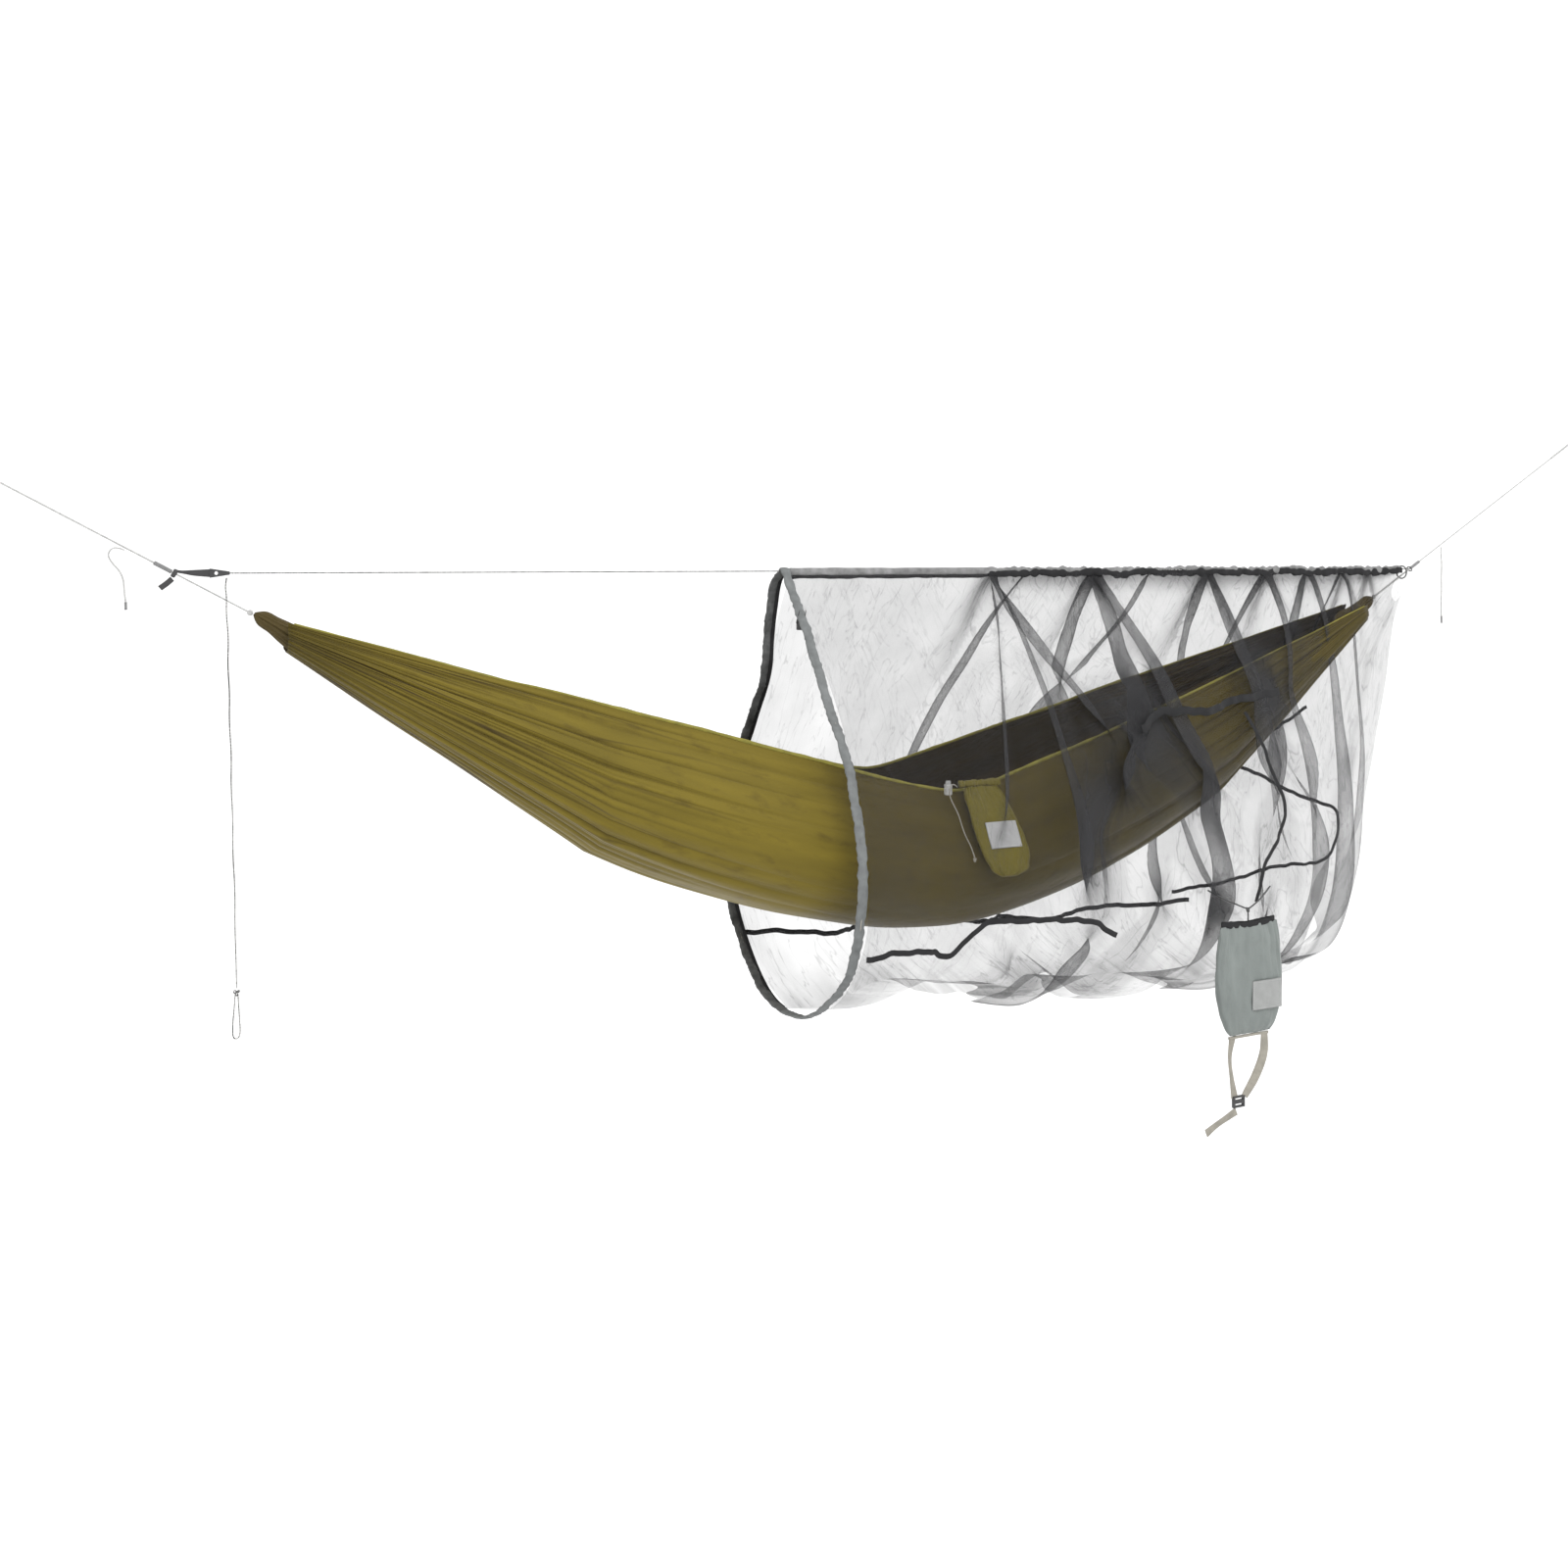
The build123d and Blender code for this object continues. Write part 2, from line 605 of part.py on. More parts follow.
def sack_buckle():
    """The ladder lock that joins the two straps."""
    frame = Box(26, 5, 20)
    slot = Box(18, 20, 4)
    body = frame - Pos(0, 0, 5) * slot - Pos(0, 0, -5) * slot
    return Pos(BUCKLE_X, SACK_Y, BUCKLE_Z + 2.5) * body


def sack_strap_tail():
    """The free end of the webbing below the buckle."""
    return flat_strip([(2318, -1291.5), (2298, -1299), (2272, -1311), (2252, -1319)], 15.0, SACK_Y)


# ---------------------------------------------------------------- free tails

TAIL_LEFT_ROUTE = [
    (523.0, -3.6, -299.0), (513.0, -4.2, -294.5), (504.0, -5.0, -297.5), (500.5, -5.4, -307.5),
    (507.0, -5.0, -318.5), (516.5, -4.6, -329.0), (522.0, -4.4, -343.0), (522.5, -4.6, -359.0),
    (524.5, -4.4, -374.0),
]
TAIL_RIGHT_ROUTE = [
    (3203.0, -3.6, -285.0), (3199.0, -4.0, -295.0), (3201.5, -4.4, -306.0), (3203.0, -4.2, -325.0),
    (3201.5, -4.5, -350.0), (3202.2, -4.4, -382.0), (3201.0, -4.2, -410.0), (3201.6, -4.4, -437.0),
]
RIDGE_TAIL_ROUTE = [
    (663.0, -8.0, -340.0), (660.5, -8.6, -352.0), (663.0, -9.2, -368.0), (662.0, -9.8, -392.0),
    (665.5, -10.4, -430.0), (664.0, -11.0, -470.0), (667.0, -11.6, -512.0), (666.0, -12.2, -556.0),
    (669.5, -12.0, -602.0), (668.5, -12.4, -650.0), (671.5, -12.8, -700.0), (671.0, -12.2, -752.0),
    (674.5, -12.6, -806.0), (674.0, -13.0, -860.0), (676.0, -12.8, -915.0), (676.5, -13.0, -953.0),
]


def tail_tip(point, length, radius):
    """The melted or whipped end of a cord, just below this point."""
    x, y, z = point
    return rod((x, y, z - 0.4), (x + 0.3, y, z - length), radius)


def ridge_tail_knot():
    """The overhand knot in the doubled end of the ridge cord, with the doubled loop below it."""
    x, y, z = RIDGE_TAIL_ROUTE[-1]
    knot = Location((x, y, z - 6.0)) * Sphere(6.0)
    strands = [rod((x + side, y, z - 9.0), (x - 1.0 + 2 * side, y, z - 74.0), 1.0) for side in (-2.0, 2.0)]
    return knot + strands[0] + strands[1]


def main():
    """Build every sub-part and write it to its own file."""
    os.makedirs("parts", exist_ok=True)

    for name, make in {
        "anchor_ring": anchor_ring,
        "suspension_eye": suspension_eye,
        "suspension_line": suspension_line,
        "adjuster_sleeve": adjuster_sleeve,
        "end_loop": end_loop,
        "end_channel": end_channel,
    }.items():
        piece = make()
        save(f"{name}_left", piece)
        save(f"{name}_right", mirror_x(piece))

    save("hammock_body", hammock_body())
    save("rim_hem_near", rim_hem(-1))
    save("rim_hem_far", rim_hem(1))

    save("ridge_strap", ridge_strap())
    save("ridge_strap_tag", ridge_strap_tag())
    save("line_lock", line_lock())
    save("ridgeline", ridgeline())
    save("ridge_loop_right", ridge_loop_right())

    save("net_mesh", net_mesh())
    save("net_ridge_sleeve", net_ridge_sleeve())
    save("net_end_cord", net_end_cord())
    save("net_seam_near", net_seam(-1))
    save("net_seam_far", net_seam(1))
    near, far = mouth_binding()
    save("mouth_binding_near", near)
    save("mouth_binding_far", far)
    save("mouth_drawcord", mouth_drawcord())
    save("mouth_lock_cord", mouth_lock_cord())

    for name, place in {"mouth": MOUTH_LOCK, "pouch": POUCH_LOCK}.items():
        body, plunger, spring = cord_lock(*place)
        save(f"{name}_cord_lock", body)
        save(f"{name}_lock_plunger", plunger)
        save(f"{name}_lock_spring", spring)

    save("pouch_body", pouch_body())
    save("pouch_hem", pouch_hem())
    save("pouch_label", pouch_label())
    save("pouch_drawcord", cord_tube(POUCH_CORD_ROUTE, 1.0))

    save("sack_body", sack_body())
    save("sack_hem", sack_hem())
    save("sack_label", sack_label())
    save("sack_tie", sack_tie())
    save("sack_straps", sack_straps())
    save("sack_buckle", sack_buckle())
    save("sack_strap_tail", sack_strap_tail())

    save("tail_left", cord_tube(TAIL_LEFT_ROUTE, TAIL_RADIUS))
    save("tail_left_tip", tail_tip(TAIL_LEFT_ROUTE[-1], 12.0, 2.0))
    save("tail_right", cord_tube(TAIL_RIGHT_ROUTE, TAIL_RADIUS))
    save("tail_right_tip", tail_tip(TAIL_RIGHT_ROUTE[-1], 16.0, 2.0))
    save("ridge_tail", cord_tube(RIDGE_TAIL_ROUTE, RIDGE_CORD_RADIUS))
    save("ridge_tail_knot", ridge_tail_knot())


main()
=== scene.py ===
"""How the ridgeline camping hammock and its slip-on insect net look.

Metres throughout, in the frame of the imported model: the origin is the left ring's bore centre, +X runs
along the hang line to the right ring, +Z is up and -Y is the near side.
"""

import logging
import math
from dataclasses import dataclass
from enum import Enum
from typing import Callable

import bmesh
import bpy
import numpy as np
from mathutils import Matrix, Vector


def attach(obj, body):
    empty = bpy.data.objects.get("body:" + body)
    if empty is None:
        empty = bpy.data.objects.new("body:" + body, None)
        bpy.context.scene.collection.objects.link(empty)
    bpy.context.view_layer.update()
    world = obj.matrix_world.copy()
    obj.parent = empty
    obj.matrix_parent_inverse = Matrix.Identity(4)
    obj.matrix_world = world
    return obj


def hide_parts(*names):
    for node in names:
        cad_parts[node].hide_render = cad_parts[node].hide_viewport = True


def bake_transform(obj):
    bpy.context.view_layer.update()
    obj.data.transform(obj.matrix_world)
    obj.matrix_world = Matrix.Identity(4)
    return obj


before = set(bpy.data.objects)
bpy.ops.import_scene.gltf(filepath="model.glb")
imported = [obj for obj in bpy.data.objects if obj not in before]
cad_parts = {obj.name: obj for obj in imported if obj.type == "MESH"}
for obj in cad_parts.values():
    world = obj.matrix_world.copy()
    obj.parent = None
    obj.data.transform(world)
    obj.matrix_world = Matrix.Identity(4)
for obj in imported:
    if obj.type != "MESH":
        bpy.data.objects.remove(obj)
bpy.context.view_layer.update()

LOG = logging.getLogger("hammock")
MM = 0.001

Array = np.ndarray
Colour = tuple[float, float, float]

SPAN = 3.700  # between the two ring bores
MID = SPAN / 2
HANG_ANGLE = math.radians(29.4)  # of the suspension below the horizontal
TIP_X = 0.700
TIP_Z = -TIP_X * math.tan(HANG_ANGLE)
RIDGE_Z = -0.333
HITCH_X = -RIDGE_Z / math.tan(HANG_ANGLE)
UP, ALONG, NEAR = np.array((0.0, 0, 1)), np.array((1.0, 0, 0)), np.array((0, -1.0, 0))


class Side(Enum):
    """The two long sides of the hammock, as the sign of Y."""

    NEAR = -1
    FAR = 1


class End(Enum):
    """The two ends of the hammock, as the direction that leads to the middle."""

    LEFT = 1
    RIGHT = -1


# ---------------------------------------------------------------- shapes by formula


def ease(low: float, high: float, value: Array) -> Array:
    """A smooth step from 0 at low to 1 at high."""
    share = np.clip((value - low) / (high - low), 0, 1)
    return share * share * (3 - 2 * share)


def through(knots: Array, values: Array, at: Array) -> Array:
    """A smooth curve through a few values.

    Args:
        knots: where the values are, rising.
        values: one number or one row of numbers per knot.
        at: where the curve is wanted.

    Returns:
        The curve's value at each place, in the same form as values.
    """
    knots, values, at = (np.asarray(x, float) for x in (knots, values, at))
    slopes = np.gradient(values, knots, axis=0)
    k = np.clip(np.searchsorted(knots, at, side="right") - 1, 0, len(knots) - 2)
    step = knots[k + 1] - knots[k]
    t = np.clip((at - knots[k]) / step, 0, 1)
    if values.ndim > 1:
        step, t = step[..., None], t[..., None]
    start = (2 * t**3 - 3 * t**2 + 1) * values[k] + (t**3 - 2 * t**2 + t) * step * slopes[k]
    return start + (3 * t**2 - 2 * t**3) * values[k + 1] + (t**3 - t**2) * step * slopes[k + 1]


def even(points: Array, count: int) -> Array:
    """Points at even steps along the smooth curve through a few given points."""
    points = np.asarray(points, float)
    knots = np.r_[0, np.cumsum(np.linalg.norm(np.diff(points, axis=0), axis=1))]
    return through(knots, points, np.linspace(0, knots[-1], count))


class Ripple:
    """Seeded soft unevenness: a sum of sine waves in random directions, from about -1 to 1."""

    def __init__(self, seed: int, waves: int = 10) -> None:
        """Draw the waves' directions and phases from the seed."""
        draw = np.random.default_rng(seed)
        self.beats = draw.normal(size=(waves, 2))
        self.phases = draw.uniform(0, 2 * math.pi, waves)

    def at(self, a: Array, b: Array | float = 0.0) -> Array:
        """The unevenness at a place whose coordinates are counted in typical wavelengths."""
        a, b = np.broadcast_arrays(np.asarray(a, float), b)
        turns = a[..., None] * self.beats[:, 0] + b[..., None] * self.beats[:, 1]
        return np.sin(2 * math.pi * turns + self.phases).sum(-1) / math.sqrt(2 * len(self.phases))


def on_line(distance: float, end: End = End.LEFT) -> Array:
    """The point on a suspension's axis that lies this far from its ring's bore."""
    x = distance * math.cos(HANG_ANGLE)
    return np.array((x if end is End.LEFT else SPAN - x, 0, -distance * math.sin(HANG_ANGLE)))


def at_x(x: float) -> float:
    """The distance along a suspension at which it is this far from its ring in X."""
    return x / math.cos(HANG_ANGLE)


# ---------------------------------------------------------------- meshes


def link(name: str, data: bpy.types.ID) -> bpy.types.Object:
    """A new object at the origin that shows this mesh or curve."""
    made = bpy.data.objects.new(name, data)
    bpy.context.scene.collection.objects.link(made)
    return made


def woven(
    name: str,
    columns: int,
    rows: int,
    place: Callable[[Array, Array], tuple[Array, dict[str, Array]]],
    size: tuple[float, float],
    join: float = 0.0,
) -> bpy.types.Object:
    """A surface made from a grid whose points are carried to their places.

    Args:
        name: the piece's name.
        columns: faces along the first direction.
        rows: faces along the second direction.
        place: gives the points, and any named values on them, for shares from 0 to 1 both ways.
        size: the flat length and width in metres, which the UV map is drawn in.
        join: points nearer than this are merged and open ends closed; 0 leaves the sheet open.

    Returns:
        The new object.
    """
    grid = bmesh.new()
    bmesh.ops.create_grid(grid, x_segments=columns, y_segments=rows, size=0.5)
    data = bpy.data.meshes.new(name)
    grid.to_mesh(data)
    grid.free()
    flat = np.empty(len(data.vertices) * 3)
    data.vertices.foreach_get("co", flat)
    s, t = flat[0::3], flat[1::3]
    s, t = (s - s.min()) / np.ptp(s), (t - t.min()) / np.ptp(t)
    points, values = place(s, t)
    data.vertices.foreach_set("co", points.astype(np.float32).ravel())
    for key, value in values.items():
        data.attributes.new(key, "FLOAT", "POINT").data.foreach_set("value", value.astype(np.float32))
    corner = np.empty(len(data.loops), np.int32)
    data.loops.foreach_get("vertex_index", corner)
    chart = data.uv_layers.new(name="UVMap")
    chart.data.foreach_set("uv", np.stack([s[corner] * size[0], t[corner] * size[1]], 1).ravel())
    if join:
        shell = bmesh.new()
        shell.from_mesh(data)
        bmesh.ops.remove_doubles(shell, verts=shell.verts, dist=join)
        bmesh.ops.holes_fill(shell, edges=[e for e in shell.edges if e.is_boundary], sides=400)
        bmesh.ops.recalc_face_normals(shell, faces=shell.faces)
        shell.to_mesh(data)
        shell.free()
    data.shade_smooth()
    return link(name, data)


def swept(
    name: str,
    path: Array,
    side: Array,
    rise: Array,
    shape: Callable[[Array, Array], tuple[Array, Array]],
    around: int = 16,
) -> bpy.types.Object:
    """A closed form swept along a path.

    Args:
        name: the piece's name.
        path: the points of its middle line.
        side: the direction of the section's width, one for all points or one each.
        rise: the direction of the section's thickness, in the same form.
        shape: gives the two offsets in metres for shares along the path and angles round it.
        around: faces round the section.

    Returns:
        The new object.
    """
    path = np.asarray(path, float)
    side, rise = (np.broadcast_to(x, path.shape) for x in (side, rise))
    steps = np.linspace(0, 1, len(path))
    long = float(np.linalg.norm(np.diff(path, axis=0), axis=1).sum())

    def place(s: Array, t: Array) -> tuple[Array, dict[str, Array]]:
        """Carry the grid's points to the swept form."""
        k = np.rint(s * (len(path) - 1)).astype(int)
        angle = 2 * math.pi * np.where(t > 1 - 1e-6, 0, t)
        a, b = shape(steps[k], angle)
        return path[k] + side[k] * a[:, None] + rise[k] * b[:, None], {"side": np.sin(angle)}

    girth = np.array(shape(np.full(64, 0.5), np.linspace(0, 2 * math.pi, 64)))
    wide = float(np.linalg.norm(np.diff(girth, axis=1), axis=0).sum())
    return woven(name, len(path) - 1, around, place, (long, wide), join=0.02 * MM)


def slab(half_wide: float, half_thick: float, corner: float = 0.35) -> Callable[[Array, Array], tuple]:
    """The section of webbing or tape: a box with rounded corners.

    Args:
        half_wide: half of its width in metres.
        half_thick: half of its thickness in metres.
        corner: 1 for an ellipse, towards 0 for a sharper box.

    Returns:
        A shape for swept().
    """

    def section(s: Array, angle: Array) -> tuple[Array, Array]:
        """The offsets at each angle."""
        c, d = np.cos(angle), np.sin(angle)
        return half_wide * np.sign(c) * np.abs(c) ** corner, half_thick * np.sign(d) * np.abs(d) ** corner

    return section


def cord_curve(name: str, routes: list[list[tuple]], radius: float) -> bpy.types.Object:
    """Round cord along smooth lines.

    Args:
        name: the piece's name.
        routes: for each length of cord, the control points of its line in metres.
        radius: of the cord, in metres.

    Returns:
        The curve object.
    """
    data = bpy.data.curves.new(name, "CURVE")
    data.dimensions = "3D"
    data.bevel_depth = radius
    data.bevel_resolution = 3
    data.resolution_u = 8
    data.use_fill_caps = True
    for route in routes:
        spline = data.splines.new("NURBS")
        spline.points.add(len(route) - 1)
        for point, place in zip(spline.points, route):
            point.co = (*place, 1)
        spline.order_u = 3
        spline.use_endpoint_u = True
    return link(name, data)


def overhand(centre: tuple[float, float, float], size: float) -> list[tuple]:
    """The route of a tight overhand knot round a point, from its top to its bottom."""
    turns = np.linspace(-0.62, 0.62, 17) * 2 * math.pi
    x = np.sin(turns) + 1.6 * np.sin(2 * turns)
    y = 0.9 * np.sin(3 * turns)
    z = np.cos(turns) - 1.6 * np.cos(2 * turns)
    loop = np.stack([x, y, z], 1) * size / 2.6
    return [tuple(p) for p in loop + np.array(centre)]


# ---------------------------------------------------------------- materials


class Signal:
    """A value that runs through a material, whose arithmetic adds the nodes that work it out."""

    def __init__(self, bench: "Bench", socket: bpy.types.NodeSocket) -> None:
        """Wrap one output socket."""
        self.bench, self.socket = bench, socket

    def _maths(self, operation: str, *terms: "Signal | float") -> "Signal":
        """A Math node on these terms."""
        return self.bench.node("ShaderNodeMath", {"operation": operation}, dict(enumerate(terms)))

    def __add__(self, other: "Signal | float") -> "Signal":
        """The sum."""
        return self._maths("ADD", self, other)

    def __sub__(self, other: "Signal | float") -> "Signal":
        """The difference."""
        return self._maths("SUBTRACT", self, other)

    def __rsub__(self, other: float) -> "Signal":
        """A number less this value."""
        return self._maths("SUBTRACT", other, self)

    def __mul__(self, other: "Signal | float") -> "Signal":
        """The product."""
        return self._maths("MULTIPLY", self, other)

    def __rpow__(self, other: float) -> "Signal":
        """A number to the power of this value."""
        return self._maths("POWER", other, self)

    def __abs__(self) -> "Signal":
        """The size without its sign."""
        return self._maths("ABSOLUTE", self)

    def least(self, other: "Signal | float") -> "Signal":
        """The lower of two values."""
        return self._maths("MINIMUM", self, other)

    def most(self, other: "Signal | float") -> "Signal":
        """The greater of two values."""
        return self._maths("MAXIMUM", self, other)

    def sine(self) -> "Signal":
        """The sine of the value."""
        return self._maths("SINE", self)

    def spread(self, low: float, high: float, start: float = 0.0, end: float = 1.0) -> "Signal":
        """The value mapped from low..high to start..end, held at both ends."""
        terms = {0: self, 1: low, 2: high, 3: start, 4: end}
        return self.bench.node("ShaderNodeMapRange", {"clamp": True}, terms)

    __radd__, __rmul__ = __add__, __mul__


class Bench:
    """One material while it is made: its surface shader and the nodes behind it."""

    def __init__(self, name: str) -> None:
        """Start a material with nothing but its surface."""
        self.material = bpy.data.materials.new(name)
        self.material.use_nodes = True
        self.tree = self.material.node_tree
        self.tree.nodes.clear()
        self.output = self.tree.nodes.new("ShaderNodeOutputMaterial")
        self.surface = self.tree.nodes.new("ShaderNodeBsdfPrincipled")
        self.tree.links.new(self.surface.outputs[0], self.output.inputs["Surface"])

    def node(
        self, kind: str, settings: dict | None = None, inputs: dict | None = None, out: int | str = 0
    ) -> Signal:
        """Add a node.

        Args:
            kind: the node's type.
            settings: its own options, which are set first.
            inputs: values or signals for its sockets, by name or number.
            out: the output that is wanted.

        Returns:
            The output as a signal.
        """
        made = self.tree.nodes.new(kind)
        for key, value in (settings or {}).items():
            setattr(made, key, value)
        self.feed(made, inputs or {})
        return Signal(self, made.outputs[out])

    def feed(self, node: bpy.types.Node, inputs: dict) -> None:
        """Set or link the node's sockets."""
        for key, value in inputs.items():
            if isinstance(value, Signal):
                self.tree.links.new(value.socket, node.inputs[key])
            elif isinstance(value, tuple) and len(value) == 3 and node.inputs[key].type == "RGBA":
                node.inputs[key].default_value = (*value, 1.0)
            else:
                node.inputs[key].default_value = value

    def wear(self, **looks: "Signal | float | Colour") -> bpy.types.Material:
        """Set the surface's own sockets, with underscores for the spaces of their names."""
        self.feed(self.surface, {key.replace("_", " "): value for key, value in looks.items()})
        return self.material

    def place(self, uv: bool = False, scale: tuple = (1.0, 1.0, 1.0), turn: float = 0.0) -> Signal:
        """Coordinates in metres on the object or its cloth, stretched and turned."""
        where = self.node("ShaderNodeTexCoord", out="UV" if uv else "Object")
        inputs = {"Vector": where, "Scale": scale, "Rotation": (0.0, 0.0, turn)}
        return self.node("ShaderNodeMapping", {}, inputs)

    def axis(self, where: Signal, out: str) -> Signal:
        """One coordinate of a place."""
        return self.node("ShaderNodeSeparateXYZ", {}, {"Vector": where}, out)

    def noise(self, where: Signal, scale: float, detail: float = 2.0, rough: float = 0.5) -> Signal:
        """Soft random patches, about 0.5 in the middle."""
        inputs = {"Vector": where, "Scale": scale, "Detail": detail, "Roughness": rough}
        return self.node("ShaderNodeTexNoise", {}, inputs)

    def attribute(self, name: str) -> Signal:
        """A value that the mesh carries on its points."""
        return self.node("ShaderNodeAttribute", {"attribute_name": name}, out="Fac")

    def mix(self, share: Signal | float, low: "Colour | Signal", high: "Colour | Signal") -> Signal:
        """Two colours mixed."""
        return self.node("ShaderNodeMix", {"data_type": "RGBA"}, {0: share, 6: low, 7: high}, out=2)

    def bump(self, height: Signal, depth: float, under: Signal | None = None) -> Signal:
        """A surface pressed up and down by this many metres."""
        inputs = {"Height": height, "Distance": depth, "Strength": 1.0}
        if under is not None:
            inputs["Normal"] = under
        return self.node("ShaderNodeBump", {}, inputs)


def tint(colour: Colour, factor: float) -> Colour:
    """A colour made lighter or darker."""
    return tuple(min(1.0, c * factor) for c in colour)


@dataclass(frozen=True)
class ShellCloth:
    """Thin crisp nylon taffeta: satin and faintly crinkled, with painted shade in its crinkles and down its
    creases, and more where it is marked shaded.
    """

    name: str
    colour: Colour
    # the colour of the painted shade in the creases and crinkles
    crease_shade: Colour
    crinkle: float = 0.35 * MM
    crinkle_scale: float = 26.0
    roughness: float = 0.52
    thread: float = 0.9 * MM

    def material(self) -> bpy.types.Material:
        """The finish as a material."""
        b = Bench(self.name)
        cloth = b.place(uv=True)
        tone = b.noise(b.place(uv=True, scale=(1.0, 5.0, 1.0)), 5.0, 3.0)
        # painted shade: how deep each point lies in a pleat's fold, read from the mesh
        folded = b.attribute("crease_shade").spread(0.0, 1.0)
        soft = b.noise(b.place(uv=True, scale=(0.7, 1.3, 1.0)), self.crinkle_scale, 4.0, 0.6)
        fine = b.noise(cloth, self.crinkle_scale * 6, 3.0, 0.6)
        body = b.mix(tone.spread(0.3, 0.7), tint(self.colour, 0.86), tint(self.colour, 1.12))
        # painted shade: the crinkle pattern darkened towards a lighter tint of the shade colour
        body = b.mix(soft.spread(0.55, 0.78) * 0.4, body, tint(self.crease_shade, 1.6))
        # painted shade: thin dark lines over the drawn-in ends, and darkening down the pleats' folds
        pleat = b.noise(b.place(uv=True, scale=(0.40, 11.0, 1.0)), 1.5, 2.0)
        drawn = (1 - abs(pleat - 0.5).spread(0.0, 0.014)) * b.attribute("drawn")
        body = b.mix((folded * 0.70).most(drawn * 0.90), body, self.crease_shade)
        # painted shade: darker where the mesh is marked shaded, under the net and beside the left bunched end
        body = b.mix(b.attribute("shaded") * 0.58, body, tint(self.crease_shade, 0.4))
        turn = 2 * math.pi / self.thread
        weave = (b.axis(cloth, "X") * turn).sine() * (b.axis(cloth, "Y") * turn).sine()
        lit = b.bump(weave, 0.02 * MM, b.bump(fine, self.crinkle * 0.4, b.bump(soft, self.crinkle * 5)))
        rough = tone.spread(0.2, 0.8, self.roughness - 0.06, self.roughness + 0.08)
        return b.wear(Base_Color=body, Roughness=rough, Normal=lit, Sheen_Weight=0.10, Sheen_Roughness=0.4,
                      Specular_IOR_Level=0.12)


@dataclass(frozen=True)
class InsectMesh:
    """Fine dark tulle: see-through, denser where it is gathered or folded."""

    name: str
    colour: Colour = (0.030, 0.030, 0.032)
    one_layer: float = 0.195  # of the light that a flat layer stops

    def material(self) -> bpy.types.Material:
        """The finish as a material."""
        b = Bench(self.name)
        gather = b.attribute("gathering")
        pull = b.noise(b.place(uv=True, scale=(5.0, 1.0, 1.0), turn=0.10), 4.2, 3.0, 0.55)
        cross = b.noise(b.place(uv=True, scale=(4.0, 1.0, 1.0), turn=-0.75), 3.4, 3.0, 0.55)
        line = (1 - abs(pull - 0.5).spread(0.0, 0.012)) + (1 - abs(cross - 0.5).spread(0.0, 0.006)) * 0.35
        patch = b.noise(b.place(uv=True), 9.0, 4.0).spread(0.3, 0.7, 0.85, 1.25)
        layers = gather * patch + line * gather * 0.75
        seen = 1 - (1 - self.one_layer) ** layers
        shade = b.mix(gather.spread(1.0, 4.0), tint(self.colour, 1.5), tint(self.colour, 0.7))
        return b.wear(Base_Color=shade, Alpha=seen, Roughness=0.75, Specular_IOR_Level=0.2)


@dataclass(frozen=True)
class Tape:
    """Woven tape and webbing: fine cross ribs, an uneven dye and fuzzy edges."""

    name: str
    colour: Colour
    rib: float = 1.6 * MM
    unevenness: float = 0.25
    relief: float = 0.12 * MM

    def material(self) -> bpy.types.Material:
        """The finish as a material."""
        b = Bench(self.name)
        cloth = b.place(uv=True)
        turn = 2 * math.pi / self.rib
        ribs = (b.axis(cloth, "X") * turn).sine() * (b.axis(cloth, "Y") * turn * 0.5).sine()
        tone = b.noise(b.place(scale=(1.0, 1.0, 1.0)), 55.0, 4.0, 0.6)
        body = b.mix(tone.spread(0.3, 0.7), tint(self.colour, 1 - self.unevenness),
                     tint(self.colour, 1 + self.unevenness))
        body = b.mix(ribs.spread(0.2, 1.0) * 0.3, body, tint(self.colour, 0.6))
        lit = b.bump(ribs, self.relief, b.bump(tone, 0.8 * MM))
        return b.wear(Base_Color=body, Roughness=tone.spread(0.2, 0.8, 0.62, 0.86), Normal=lit,
                      Specular_IOR_Level=0.25)


@dataclass(frozen=True)
class Braid:
    """Braided cord that runs mostly along one direction, with a tracer in its weave."""

    name: str
    colour: Colour
    tracer: Colour
    run: tuple[float, float, float]
    tracer_share: float = 0.5
    pitch: float = 3.0 * MM

    def material(self) -> bpy.types.Material:
        """The finish as a material."""
        b = Bench(self.name)
        where = b.place()
        along = b.node("ShaderNodeVectorMath", {"operation": "DOT_PRODUCT"}, {0: where, 1: self.run}, out="Value")
        turn = 2 * math.pi / self.pitch
        across = b.axis(where, "Y") * (turn * 1.3)
        strand = (along * turn + across).sine() * (along * turn - across).sine()
        fleck = b.noise(b.place(scale=(260.0, 260.0, 260.0)), 1.0, 1.0)
        mark = (strand * 0.35 + fleck).spread(0.80 - self.tracer_share * 0.7, 0.92 - self.tracer_share * 0.7)
        body = b.mix(mark, self.colour, self.tracer)
        return b.wear(Base_Color=body, Roughness=fleck.spread(0.2, 0.8, 0.5, 0.75), Sheen_Weight=0.2,
                      Normal=b.bump(strand, 0.18 * MM))


@dataclass(frozen=True)
class Moulded:
    """Hard parts: moulded plastic, anodised alloy or spring wire."""

    name: str
    colour: Colour
    metal: float = 0.0
    roughness: float = 0.4
    clear: float = 0.0

    def material(self) -> bpy.types.Material:
        """The finish as a material."""
        b = Bench(self.name)
        grain = b.noise(b.place(), 900.0, 3.0)
        wear = b.noise(b.place(), 120.0, 5.0, 0.65)
        body = b.mix(wear.spread(0.35, 0.75), self.colour, tint(self.colour, 1.3))
        rough = (wear + grain * 0.3).spread(0.3, 1.0, self.roughness - 0.08, self.roughness + 0.18)
        return b.wear(Base_Color=body, Roughness=rough, Metallic=self.metal, Alpha=1 - self.clear,
                      Normal=b.bump(grain, 0.02 * MM), Coat_Weight=0.0)


